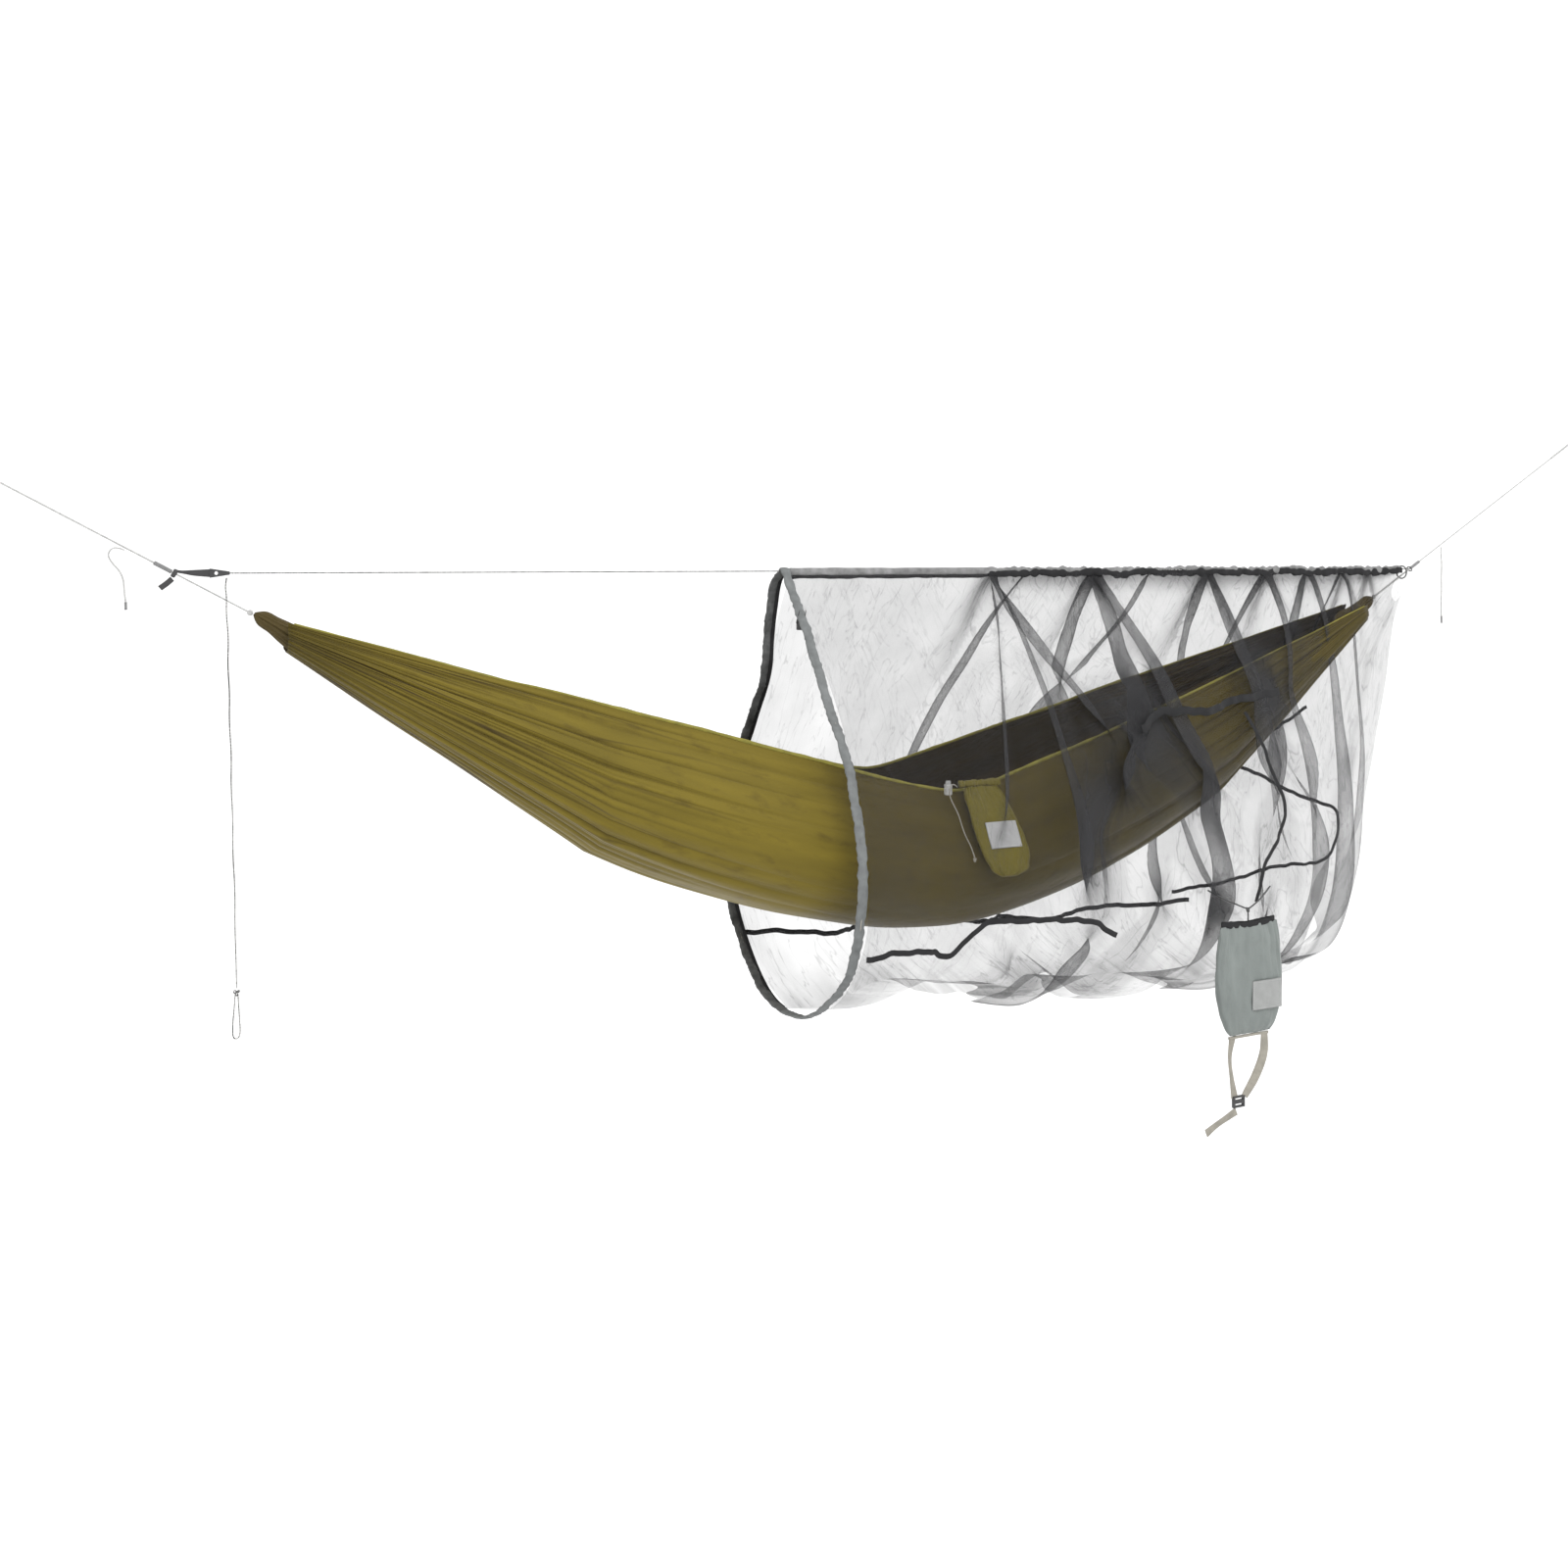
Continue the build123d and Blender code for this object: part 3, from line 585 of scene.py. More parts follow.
@dataclass(frozen=True)
class Patch:
    """A blank woven label with a stitched border."""

    name: str
    colour: Colour
    size: tuple[float, float]
    border: float = 3.0 * MM

    def material(self) -> bpy.types.Material:
        """The finish as a material."""
        b = Bench(self.name)
        cloth = b.place(uv=True)
        x, y = b.axis(cloth, "X"), b.axis(cloth, "Y")
        inset = x.least(self.size[0] - x).least(y.least(self.size[1] - y))
        edge = 1 - inset.spread(self.border * 0.2, self.border * 0.4)
        stitch = 1 - abs(inset - self.border).spread(0.25 * MM, 0.5 * MM)
        dash = ((x + y) * (2 * math.pi / (3.2 * MM))).sine().spread(-0.2, 0.2)
        turn = 2 * math.pi / (0.9 * MM)
        twill = ((x + y) * turn).sine()
        tone = b.noise(cloth, 60.0, 4.0)
        body = b.mix(tone.spread(0.3, 0.7), tint(self.colour, 0.9), tint(self.colour, 1.1))
        body = b.mix(stitch * dash * 0.8, body, tint(self.colour, 1.7))
        body = b.mix(edge * 0.6, body, tint(self.colour, 0.45))
        lit = b.bump(stitch * dash, 0.3 * MM, b.bump(twill, 0.05 * MM))
        return b.wear(Base_Color=body, Roughness=tone.spread(0.2, 0.8, 0.6, 0.8), Normal=lit, Sheen_Weight=0.2)


@dataclass(frozen=True)
class Finishes:
    """Every finish of the hammock, made once."""

    olive: bpy.types.Material
    olive_inside: bpy.types.Material
    hem: bpy.types.Material
    gather: bpy.types.Material
    mesh: bpy.types.Material
    sleeve: bpy.types.Material
    dark_tape: bpy.types.Material
    binding_near: bpy.types.Material
    binding_far: bpy.types.Material
    rope: bpy.types.Material
    rope_right: bpy.types.Material
    ridge: bpy.types.Material
    tracer_tail: bpy.types.Material
    dark_cord: bpy.types.Material
    drawcord: bpy.types.Material
    splice: bpy.types.Material
    webbing: bpy.types.Material
    tan_webbing: bpy.types.Material
    plastic: bpy.types.Material
    clear_plastic: bpy.types.Material
    alloy: bpy.types.Material
    steel: bpy.types.Material
    sack: bpy.types.Material
    pouch: bpy.types.Material
    pouch_label: bpy.types.Material
    sack_label: bpy.types.Material

    @classmethod
    def make(cls) -> "Finishes":
        """Make all the materials."""
        slope = (math.cos(HANG_ANGLE), 0.0, math.sin(HANG_ANGLE))
        return cls(
            olive=ShellCloth("olive_taffeta", (0.130, 0.098, 0.012), (0.018, 0.010, 0.004)).material(),
            # painted shade: a darker copy of the olive taffeta, worn on one face of the hammock's cloth as the
            # shade inside it
            olive_inside=ShellCloth("inside_taffeta_painted_shade", (0.095, 0.066, 0.016), (0.026, 0.017, 0.008),
                                    crinkle=0.7 * MM, crinkle_scale=40.0).material(),
            hem=Tape("lime_hem", (0.19, 0.168, 0.030), rib=2.4 * MM).material(),
            # painted shade: a darker copy of the olive taffeta for the bunched ends, whose folds stand in shade
            gather=ShellCloth("gathered_taffeta_painted_shade", (0.062, 0.045, 0.014), (0.014, 0.009, 0.004),
                              crinkle=0.7 * MM, crinkle_scale=60.0).material(),
            mesh=InsectMesh("insect_mesh").material(),
            sleeve=Tape("grey_channel", (0.19, 0.19, 0.19), unevenness=0.35).material(),
            dark_tape=Tape("dark_seam_tape", (0.013, 0.013, 0.014), unevenness=0.4).material(),
            binding_near=Tape("light_binding", (0.135, 0.142, 0.142), unevenness=0.26).material(),
            binding_far=Tape("dark_binding", (0.085, 0.087, 0.087), unevenness=0.5).material(),
            rope=Braid(
                "pale_rope_left", (0.28, 0.28, 0.275), (0.42, 0.42, 0.41), (slope[0], 0, -slope[2])
            ).material(),
            rope_right=Braid("pale_rope_right", (0.28, 0.28, 0.275), (0.42, 0.42, 0.41), slope).material(),
            ridge=Braid("tracer_ridgeline", (0.02, 0.02, 0.02), (0.34, 0.34, 0.33), (1.0, 0, 0),
                        tracer_share=0.45, pitch=8 * MM).material(),
            tracer_tail=Braid("tracer_cord", (0.02, 0.02, 0.02), (0.30, 0.30, 0.29), (0, 0, 1.0),
                              tracer_share=0.40, pitch=9 * MM).material(),
            dark_cord=Braid("dark_cord", (0.018, 0.018, 0.018), (0.05, 0.05, 0.05), (1.0, 0, 0)).material(),
            drawcord=Braid("grey_drawcord", (0.20, 0.18, 0.15), (0.30, 0.28, 0.24), (0, 0, 1.0)).material(),
            splice=Braid("splice_sleeve", (0.12, 0.12, 0.12), (0.2, 0.2, 0.2), (1.0, 0, 0)).material(),
            webbing=Tape("dark_webbing", (0.045, 0.045, 0.046), rib=1.2 * MM).material(),
            tan_webbing=Tape("tan_webbing", (0.26, 0.245, 0.21), rib=1.4 * MM, unevenness=0.18).material(),
            plastic=Moulded("black_plastic", (0.020, 0.020, 0.021)).material(),
            clear_plastic=Moulded("clear_plastic", (0.42, 0.42, 0.41), roughness=0.22, clear=0.45).material(),
            alloy=Moulded("grey_alloy", (0.30, 0.31, 0.32), metal=1.0, roughness=0.34).material(),
            steel=Moulded("spring_steel", (0.55, 0.55, 0.55), metal=1.0, roughness=0.3).material(),
            sack=ShellCloth("sack_taffeta", (0.170, 0.188, 0.180), (0.055, 0.062, 0.062), crinkle=1.5 * MM,
                            crinkle_scale=15.0).material(),
            pouch=ShellCloth("pouch_taffeta", (0.120, 0.098, 0.012), (0.022, 0.016, 0.006), crinkle=1.5 * MM,
                             crinkle_scale=17.0).material(),
            pouch_label=Patch("pouch_patch", (0.36, 0.36, 0.36), (76 * MM, 50 * MM)).material(),
            sack_label=Patch("sack_patch", (0.24, 0.245, 0.24), (68 * MM, 52 * MM)).material(),
        )


def dress(piece: bpy.types.Object, *finishes: bpy.types.Material) -> bpy.types.Object:
    """Give a piece its finishes."""
    for k, finish in enumerate(finishes):
        if k < len(piece.material_slots):
            piece.material_slots[k].material = finish
        else:
            piece.data.materials.append(finish)
    return piece


def dress_nodes(finish: bpy.types.Material, *names: str) -> None:
    """Give the carried-over parts with these names one finish."""
    for name in names:
        dress(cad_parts[name], finish)
        LOG.info("dressed %s", name)


def settle(piece: bpy.types.Object, body: str, slot: str, *stands_for: str) -> bpy.types.Object:
    """Put a finished piece on its body.

    Args:
        piece: the finished piece.
        body: the moving body that carries it, or net_fabric for what stretches along the ridge.
        slot: the record's material slot; not used.
        stands_for: the parts that it replaces.

    Returns:
        The piece.
    """
    if stands_for:
        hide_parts(*stands_for)
    if body == "net_fabric":
        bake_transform(piece)
    else:
        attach(piece, body)
    LOG.info("made %s on %s", piece.name, body)
    return piece


def squeezed(spring: str, finish: bpy.types.Material) -> bpy.types.Object:
    """A lock's spring, copied from the part that it replaces and dressed.

    Args:
        spring: the part that the coil replaces.
        finish: of the wire.

    Returns:
        The coil.
    """
    coil = link(spring + "_coil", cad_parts[spring].data.copy())
    dress(coil, finish)
    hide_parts(spring)
    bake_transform(coil)
    return coil


# ---------------------------------------------------------------- the hammock's cloth


@dataclass
class HammockCloth:
    """The gathered-end cloth: its pleated body, rolled hems and bunched ends."""

    finishes: Finishes
    first_x: float = 0.748
    cut: tuple[float, float] = (2.45, 0.90)  # this model's own flat size, smaller than a real cut of 2.67 by 1.19
    columns: int = 136
    rows: int = 340
    wall: float = 0.6 * MM
    pleats: int = 42
    wide_folds: int = 15

    def rim(self, x: Array) -> Array:
        """Height of the long edges."""
        u = np.abs(x - MID) / 1.15
        return TIP_Z - (TIP_Z + 0.716) * (1 - np.sqrt(u * u + 0.0016)) / 0.96

    def keel(self, x: Array) -> Array:
        """Height of the lowest line."""
        u = np.abs(x - MID) / 1.15
        straight = -0.795 + (TIP_Z - 0.024 + 0.795) * (u - 0.55) / 0.45
        return np.where(u > 0.55, straight, -0.975 + 0.18 * (u / 0.55) ** 1.7)

    def base(self, s: Array, t: Array) -> Array:
        """A point of the unpleated trough; s runs along it and t from the near edge to the far one."""
        x = self.first_x + s * (SPAN - 2 * self.first_x)
        u = np.abs(x - MID) / 1.15
        rim_half = 0.020 + 0.142 * (1 - u**1.6)
        side_half = 0.022 + 0.203 * np.maximum(1 - u * u, 0) ** 1.1
        half = [(1, 0, 0), (0.5, 0.5, 0.2), (0, 1, 0.48), (0, 0.86, 0.75), (0, 0.5, 0.94)]
        table = [(-a, -b, c) for a, b, c in half] + [(0, 0, 1)] + half[::-1]
        knots = [0, 0.10, 0.23, 0.345, 0.44, 0.5, 0.56, 0.655, 0.77, 0.90, 1]
        share = through(knots, table, t)
        y = share[..., 0] * rim_half + share[..., 1] * side_half
        top = self.rim(x)
        return np.stack([x, y, top - share[..., 2] * (top - self.keel(x))], -1)

    def outward(self, s: Array, t: Array) -> Array:
        """The direction out of the trough at each point."""
        step = 1e-3
        t = np.clip(t, step, 1 - step)
        along = self.base(np.clip(s + step, 0, 1), t) - self.base(np.clip(s - step, 0, 1), t)
        across = self.base(s, t + step) - self.base(s, t - step)
        normal = np.cross(across, along)
        normal *= np.sign(normal[..., 1:2] * np.sign(t - 0.5)[..., None] - normal[..., 2:3] * 0.5 + 1e-9)
        return normal / np.linalg.norm(normal, axis=-1, keepdims=True)

    def fan(self, s: Array, t: Array, seed: int, count: int, reach: tuple[float, float]) -> tuple[Array, Array]:
        """One fan of pleats from an end.

        Args:
            s: share of the way from this end to the other.
            t: share across the cloth.
            seed: for the pleats' widths and reaches.
            count: pleats across the cloth.
            reach: least and most share of the half length that a pleat runs to.

        Returns:
            How far each point lies down into its pleat's fold, and how strong its pleat still is, both 0 to 1.
        """
        draw = np.random.default_rng(seed)
        edges = np.r_[0, np.cumsum(draw.uniform(0.45, 1.6, count))]
        place = np.interp(t, edges / edges[-1], np.arange(count + 1))
        pleat = np.minimum(place.astype(int), count - 1)
        ends = draw.uniform(*reach, count + 1)
        share = place - pleat
        run = ends[pleat] * (1 - share) + ends[pleat + 1] * share
        strength = 1 - ease(0.35, 1.0, 2 * s / run)
        deep = draw.uniform(0.45, 1.0, count + 1)
        weight = deep[pleat] * (1 - share) + deep[pleat + 1] * share
        return (1 - np.abs(np.sin(math.pi * place)) ** 0.75), strength * weight

    def body_points(self, s: Array, t: Array) -> tuple[Array, dict[str, Array]]:
        """The pleated cloth's points, with how deep each lies in a fold, which sets its painted shade, and where
        painted shade falls on the drawn-in ends and under the net.
        """
        points = self.base(s, t)
        normal = self.outward(s, t)
        u = np.abs(points[..., 0] - MID) / 1.15
        girth = 0.09 + 0.80 * np.maximum(1 - u * u, 0)
        sunk, crease_shade = np.zeros_like(s), np.zeros_like(s)
        for from_end, seed in ((s, 5), (1 - s, 23)):
            for count, reach, depth in ((self.pleats, (0.35, 0.98), 0.42), (self.wide_folds, (0.5, 1.3), 0.18),
                                        (self.pleats * 2, (0.2, 0.6), 0.30)):
                down, strength = self.fan(from_end, t, seed + count, count, reach)
                sunk += down * strength * depth * girth / count
                # painted shade: the depth in each pleat's fold darkens the cloth there
                crease_shade += down**2.2 * strength * (1.1 if count == self.pleats else 0.45)
        edge = np.minimum(t, 1 - t)
        wave = Ripple(3).at(points[..., 0] * 2.2, t * 3)
        points = points - normal * (sunk * ease(0.0, 0.02, edge))[..., None]
        points = points + normal * (wave * 1.6 * MM * ease(0.0, 0.3, 1 - u))[..., None]
        points[..., 2] += Ripple(8).at(points[..., 0] * 2.0, np.sign(t - 0.5)) * 1.5 * MM * (edge < 0.02)
        x = points[..., 0]
        # painted shade: dark lines on the drawn-in ends, and darker cloth under the net and beside the left
        # bunched end
        drawn = np.clip((np.abs(x - MID) - 0.30) / 0.60, 0, 1)
        shaded = ease(1.550, 1.650, x) + 0.7 * (1 - ease(0.77, 0.92, x))
        return points, {"crease_shade": np.clip(crease_shade, 0, 1), "drawn": drawn, "shaded": shaded}

    def build(self) -> None:
        """Make and place the cloth, its hems and its bunched ends."""
        body = woven("hammock_cloth", self.columns, self.rows, self.body_points, self.cut)
        # painted shade: one face of the wall wears the darker copy of the cloth, the other the plain olive
        dress(body, self.finishes.olive_inside, self.finishes.olive)
        wall = body.modifiers.new("wall", "SOLIDIFY")
        wall.thickness, wall.offset, wall.material_offset = self.wall, 0.0, 1
        settle(body, "hammock", "cloth_olive", "hammock_body")
        for side in Side:
            self.hem(side)
        for end in End:
            self.bunched_end(end)

    def hem(self, side: Side) -> None:
        """The rolled hem along one long edge."""
        s = np.linspace(0.004, 0.996, 260)
        path = self.body_points(s, np.full_like(s, 0.0 if side is Side.NEAR else 1.0))[0]
        roll = Ripple(31 + side.value)

        def thinned(share: Array) -> Array:
            """How much of the roll's thickness is left towards the two ends."""
            return 0.45 + 0.55 * ease(0.12, 0.30, share) * ease(0.12, 0.30, 1 - share)

        path[:, 2] += 2.2 * MM * thinned(s) ** 2

        def shape(share: Array, angle: Array) -> tuple[Array, Array]:
            """A flattened roll, uneven along its length."""
            size = (1 + 0.22 * roll.at(share * 40)) * thinned(share)
            return 1.7 * MM * size * np.cos(angle), 2.8 * MM * size * np.sin(angle)

        piece = swept(f"rim_roll_{side.name.lower()}", path, NEAR, UP, shape, around=12)
        dress(piece, self.finishes.hem)
        settle(piece, "hammock", "hem_lime", f"rim_hem_{side.name.lower()}")

    def bunched_end(self, end: End) -> None:
        """The sewn end channel, where all the pleats are bunched."""
        tip = np.array((TIP_X + 3 * MM, 0, TIP_Z))
        base = np.array((0.800, 0, -0.4570))
        path = np.linspace(tip, base, 40)
        if end is End.RIGHT:
            path[:, 0] = SPAN - path[:, 0]
        line = (path[-1] - path[0]) / np.linalg.norm(path[-1] - path[0])
        rise = np.cross(line, NEAR)
        draw = np.random.default_rng(60 + end.value)
        folds = draw.uniform(0, 2 * math.pi, 5)

        def shape(share: Array, angle: Array) -> tuple[Array, Array]:
            """A bunch of folded cloth that widens from the cord to the pleats."""
            radii = [2.5 * MM, 8 * MM, 13 * MM, 18 * MM, 21 * MM, 12 * MM]
            size = through([0, 0.06, 0.3, 0.6, 0.82, 1], radii, share)
            lobes = np.abs(np.sin(7 * angle + folds[0])) + 0.6 * np.abs(np.sin(11.5 * angle + folds[1]))
            size = size * (0.84 + 0.16 * lobes + 0.05 * np.sin(3 * angle + 9 * share + folds[2]))
            return size * np.cos(angle), size * np.sin(angle)

        piece = swept(f"bunched_end_{end.name.lower()}", path, NEAR, rise, shape, around=120)
        # painted shade: the bunched end wears the darker copy of the cloth
        dress(piece, self.finishes.gather)
        settle(piece, "hammock", "gather_brown", f"end_channel_{end.name.lower()}")


# ---------------------------------------------------------------- the insect net


@dataclass(frozen=True)
class Tuck:
    """A fold of the mesh that doubles back over itself and widens downwards from the ridge."""

    top_x: float
    low_x: float
    top_width: float
    low_width: float
    fullness: float
    start: float = -0.1
    end: float = 1.1


@dataclass(frozen=True)
class Pinch:
    """A place where the mesh wall is drawn together."""

    x: float
    z: float
    width: float
    height: float
    strength: float
    layers: float = 2.0


@dataclass
class InsectNet:
    """The sleeve of mesh round the foot half: two walls, ridge channel, tapes and end gather."""

    finishes: Finishes
    columns: int = 460
    rows: int = 170
    cut: tuple[float, float] = (2.20, 1.02)  # one wall, along the ridge and down to the lowest line
    cloth_per_ridge: float = 1.00

    TOP = (1.601, 3.080)
    WIDTHS = ((1.601, 0.288), (1.8, 0.318), (2.05, 0.325), (2.3, 0.315), (2.6, 0.250), (2.85, 0.135),
              (3.0, 0.065), (3.05, 0.042), (3.08, 0.014))
    LOW_LINE = ((1.601, 1.596, -1.104), (1.70, 1.680, -1.106), (1.80, 1.790, -1.076), (1.87, 1.860, -1.104),
                (1.98, 1.978, -1.126), (2.06, 2.060, -1.139), (2.15, 2.146, -1.106), (2.24, 2.233, -1.160),
                (2.30, 2.289, -1.124), (2.42, 2.400, -1.160), (2.52, 2.484, -1.171), (2.61, 2.560, -1.148),
                (2.70, 2.644, -1.170), (2.78, 2.715, -1.146), (2.86, 2.775, -1.150), (2.92, 2.832, -1.062),
                (2.97, 2.868, -0.962), (3.01, 2.900, -0.862), (3.045, 2.948, -0.690), (3.065, 3.000, -0.515),
                (3.08, 3.066, -0.400))
    PROFILE = ((0, 0, 0.012), (0.12, 0.12, 0.27), (0.34, 0.33, 0.71), (0.56, 0.57, 1.0), (0.76, 0.80, 0.94),
               (0.89, 0.94, 0.58), (1, 1, 0))
    FAR_MOUTH = ((0, 0, 0.012), (0.12, 0.12, 0.20), (0.34, 0.33, 0.44), (0.56, 0.57, 0.80), (0.76, 0.80, 0.82),
                 (0.89, 0.94, 0.50), (1, 1, 0))
    GATHERS = ((2.021, 0.07), (2.259, 0.08), (2.540, 0.07), (2.701, 0.05), (2.817, 0.045), (2.912, 0.04),
               (2.985, 0.03))
    TUCKS = {
        Side.NEAR: (
            Tuck(2.000, 1.690, 0.014, 0.050, 0.62, end=0.62),
            Tuck(2.015, 1.965, 0.022, 0.080, 0.70, end=0.72),
            Tuck(2.035, 2.175, 0.026, 0.170, 0.74, end=0.56),
            Tuck(2.245, 2.060, 0.022, 0.250, 0.72, end=0.50),
            Tuck(2.275, 2.420, 0.024, 0.240, 0.72, end=0.55),
            Tuck(2.215, 2.345, 0.030, 0.075, 0.84, start=0.20, end=1.00),
            Tuck(2.540, 2.430, 0.024, 0.200, 0.70, end=0.55),
            Tuck(2.560, 2.600, 0.018, 0.075, 0.70, end=0.66),
            Tuck(2.700, 2.560, 0.020, 0.070, 0.80, end=1.00),
            Tuck(2.815, 2.740, 0.016, 0.075, 0.72, end=1.20),
            Tuck(2.905, 2.830, 0.012, 0.045, 0.62, end=1.20),
            Tuck(1.830, 1.900, 0.010, 0.110, 0.66, start=0.74),
            Tuck(2.035, 2.000, 0.010, 0.170, 0.70, start=0.68),
            Tuck(2.180, 2.150, 0.020, 0.085, 0.72, start=0.62),
            Tuck(2.440, 2.430, 0.020, 0.080, 0.66, start=0.64),
        ),
        Side.FAR: (
            Tuck(2.110, 1.930, 0.030, 0.055, 0.64, end=0.8),
            Tuck(2.260, 2.430, 0.022, 0.110, 0.70, end=0.7),
            Tuck(2.400, 2.230, 0.020, 0.100, 0.68, end=0.8),
            Tuck(2.550, 2.730, 0.018, 0.090, 0.70, end=0.9),
            Tuck(2.690, 2.560, 0.018, 0.070, 0.68, end=0.9),
            Tuck(2.800, 2.860, 0.016, 0.060, 0.66, end=0.95),
            Tuck(2.900, 2.760, 0.014, 0.045, 0.62, end=0.95),
        ),
    }
    PINCHES = {
        Side.NEAR: (Pinch(2.035, -0.790, 0.070, 0.12, 0.62, 7.0), Pinch(2.240, -0.600, 0.13, 0.10, 0.50, 5.5),
                    Pinch(2.130, -0.660, 0.09, 0.09, 0.30, 4.0), Pinch(2.270, -0.720, 0.08, 0.11, 0.30, 4.0),
                    Pinch(2.590, -0.570, 0.075, 0.07, 0.66, 7.0), Pinch(2.320, -0.935, 0.06, 0.07, 0.60, 4.0)),
        Side.FAR: (Pinch(2.600, -0.760, 0.06, 0.10, 0.5, 1.5),),
    }

    def base(self, s: Array, t: Array, side: Side) -> Array:
        """A point of the smooth wall; s runs along the ridge and t down to the lowest line."""
        top_x = self.TOP[0] + s * (self.TOP[1] - self.TOP[0])
        low = through([k[0] for k in self.LOW_LINE], [k[1:] for k in self.LOW_LINE], top_x)
        wide = through([k[0] for k in self.WIDTHS], [k[1] for k in self.WIDTHS], top_x)
        across = through([k[0] for k in self.PROFILE], [k[1:] for k in self.PROFILE], t)
        if side is Side.FAR:
            mouth = through([k[0] for k in self.FAR_MOUTH], [k[1:] for k in self.FAR_MOUTH], t)
            across = across + (mouth - across) * (1 - ease(1.60, 1.95, top_x))[..., None]
        drop = across[..., 0]
        x = top_x + (low[..., 0] - top_x) * drop
        z = -0.340 + (low[..., 1] + 0.340) * drop
        return np.stack([x, side.value * np.maximum(across[..., 1] * wide, 1.5 * MM * (1 - t)), z], -1)

    def shifted(self, points: Array, t: Array, side: Side) -> tuple[Array, Array, Array]:
        """How tucks, pinches and gathers move the mesh.

        Args:
            points: places on the smooth wall.
            t: share of the way down.
            side: which wall.

        Returns:
            The move along X and the move out of the wall, in metres, and how far each place is in a fold.
        """
        x, z = points[..., 0], points[..., 2]
        along, out, folded = np.zeros_like(x), np.zeros_like(x), np.zeros_like(x)
        for k, tuck in enumerate(self.TUCKS[side]):
            centre = tuck.top_x + (tuck.low_x - tuck.top_x) * t
            width = tuck.top_width + (tuck.low_width - tuck.top_width) * t
            share = np.clip((x - centre) / width, -1, 1)
            shown = ease(tuck.start, tuck.start + 0.12, t) * (1 - ease(tuck.end - 0.14, tuck.end, t))
            fold = width * np.sin(math.pi * share) * shown
            along -= tuck.fullness * fold
            out += (0.10 + 0.03 * (k % 3)) * fold
            folded = np.maximum(folded, (1 - ease(0.62, 0.72, np.abs(share))) * shown)
        for pinch in self.PINCHES[side]:
            near = np.exp(-(((x - pinch.x) / pinch.width) ** 2) - ((z - pinch.z) / pinch.height) ** 2)
            along -= (x - pinch.x) * pinch.strength * near
            out -= 0.012 * near
        for place, width in self.GATHERS:
            near = np.exp(-(((x - place) / width) ** 2) - (t / 0.22) ** 2)
            along -= (x - place) * 0.72 * near
        return along, out, folded

    def wall_points(self, s: Array, t: Array, side: Side) -> tuple[Array, dict[str, Array]]:
        """The gathered wall's points, with how dense its mesh looks at each."""
        points = self.base(s, t, side)
        step = 5e-4
        ahead = self.base(np.clip(s + step, 0, 1), t, side)
        behind = self.base(np.clip(s - step, 0, 1), t, side)
        moved, out, folded = self.shifted(points, t, side)
        moved_ahead = ahead[..., 0] + self.shifted(ahead, t, side)[0]
        moved_behind = behind[..., 0] + self.shifted(behind, t, side)[0]
        gap = np.linalg.norm(ahead[..., 1:] - behind[..., 1:], axis=-1)
        run = np.hypot(np.abs(moved_ahead - moved_behind), gap) / np.abs(
            np.clip(s + step, 0, 1) - np.clip(s - step, 0, 1))
        flat = self.cloth_per_ridge * (self.TOP[1] - self.TOP[0]) * (1 + 0.15 * t)
        level = 1.0 if side is Side.NEAR else 1.4
        drawn_in = np.clip(flat / np.maximum(run, 1e-6), 0.85, 2.6)
        density = level * drawn_in + 0.8 * folded + self.bunched(points, t, side)
        held = ease(0, 0.03, s) * ease(0, 0.02, 1 - s) * ease(0, 0.03, t) * ease(0, 0.02, 1 - t)
        x = points[..., 0]
        ruffle = 1 - ease(0.0, 0.5, t)
        fine = Ripple(41 + side.value, 14).at(x * 26, t * 3.0) * (1.2 + 2.6 * ruffle) * MM
        broad = Ripple(47 + side.value).at(x * 6, t * 1.6) * 7 * MM
        billow = Ripple(53 + side.value).at(x * 2.2, t * 1.2) * 9 * MM
        out = (out + fine + broad + billow) * held
        points[..., 0] += moved * np.minimum(ease(0, 0.04, s) * ease(0, 0.02, 1 - s), 1)
        points[..., 1] += side.value * out * ease(0, 0.10, 1 - t)
        points[..., 2] += Ripple(59).at(x * 7, 0) * 4 * MM * ease(0.85, 1, t) * ease(0, 0.06, s)
        return points, {"gathering": density}

    def bunched(self, points: Array, t: Array, side: Side) -> Array:
        """How many more layers lie on each other at the pinches and along the ridge."""
        x, z = points[..., 0], points[..., 2]
        streaks = 0.75 + 0.5 * Ripple(61, 14).at(x * 30, z * 3)
        more = np.zeros_like(x)
        for pinch in self.PINCHES[side]:
            reach = ((x - pinch.x) / (pinch.width * 0.45)) ** 2 + ((z - pinch.z) / (pinch.height * 0.8)) ** 2
            more += 1.9 * pinch.layers * np.exp(-reach) * streaks
        for place, width in self.GATHERS:
            more += 3.8 * np.exp(-(((x - place) / (width * 0.5)) ** 2) - (t / 0.10) ** 2) * streaks
        ridge = 2.4 * np.exp(-((t / 0.03) ** 2)) * ease(1.98, 2.06, x)
        hem = 1.3 * np.exp(-(((1 - t) / 0.05) ** 2)) * streaks
        return more + ridge + hem

    def wall_at(self, x: Array, z: Array, side: Side) -> Array:
        """Points on the smooth wall at these places seen from the side."""
        s, t = (g.ravel() for g in np.meshgrid(np.linspace(0, 1, 220), np.linspace(0.02, 0.98, 200)))
        known = self.base(s, t, side)
        found = [int(np.argmin((known[:, 0] - a) ** 2 + (known[:, 2] - b) ** 2)) for a, b in zip(x, z)]
        points = known[found]
        points[:, 0], points[:, 2] = x, z
        return points

    def build(self) -> None:
        """Make and place the net's walls, ridge channel and tapes."""
        for side in Side:
            self.wall(side)
        self.channel()
        self.tapes()
        dress_nodes(self.finishes.dark_cord, "net_end_cord")

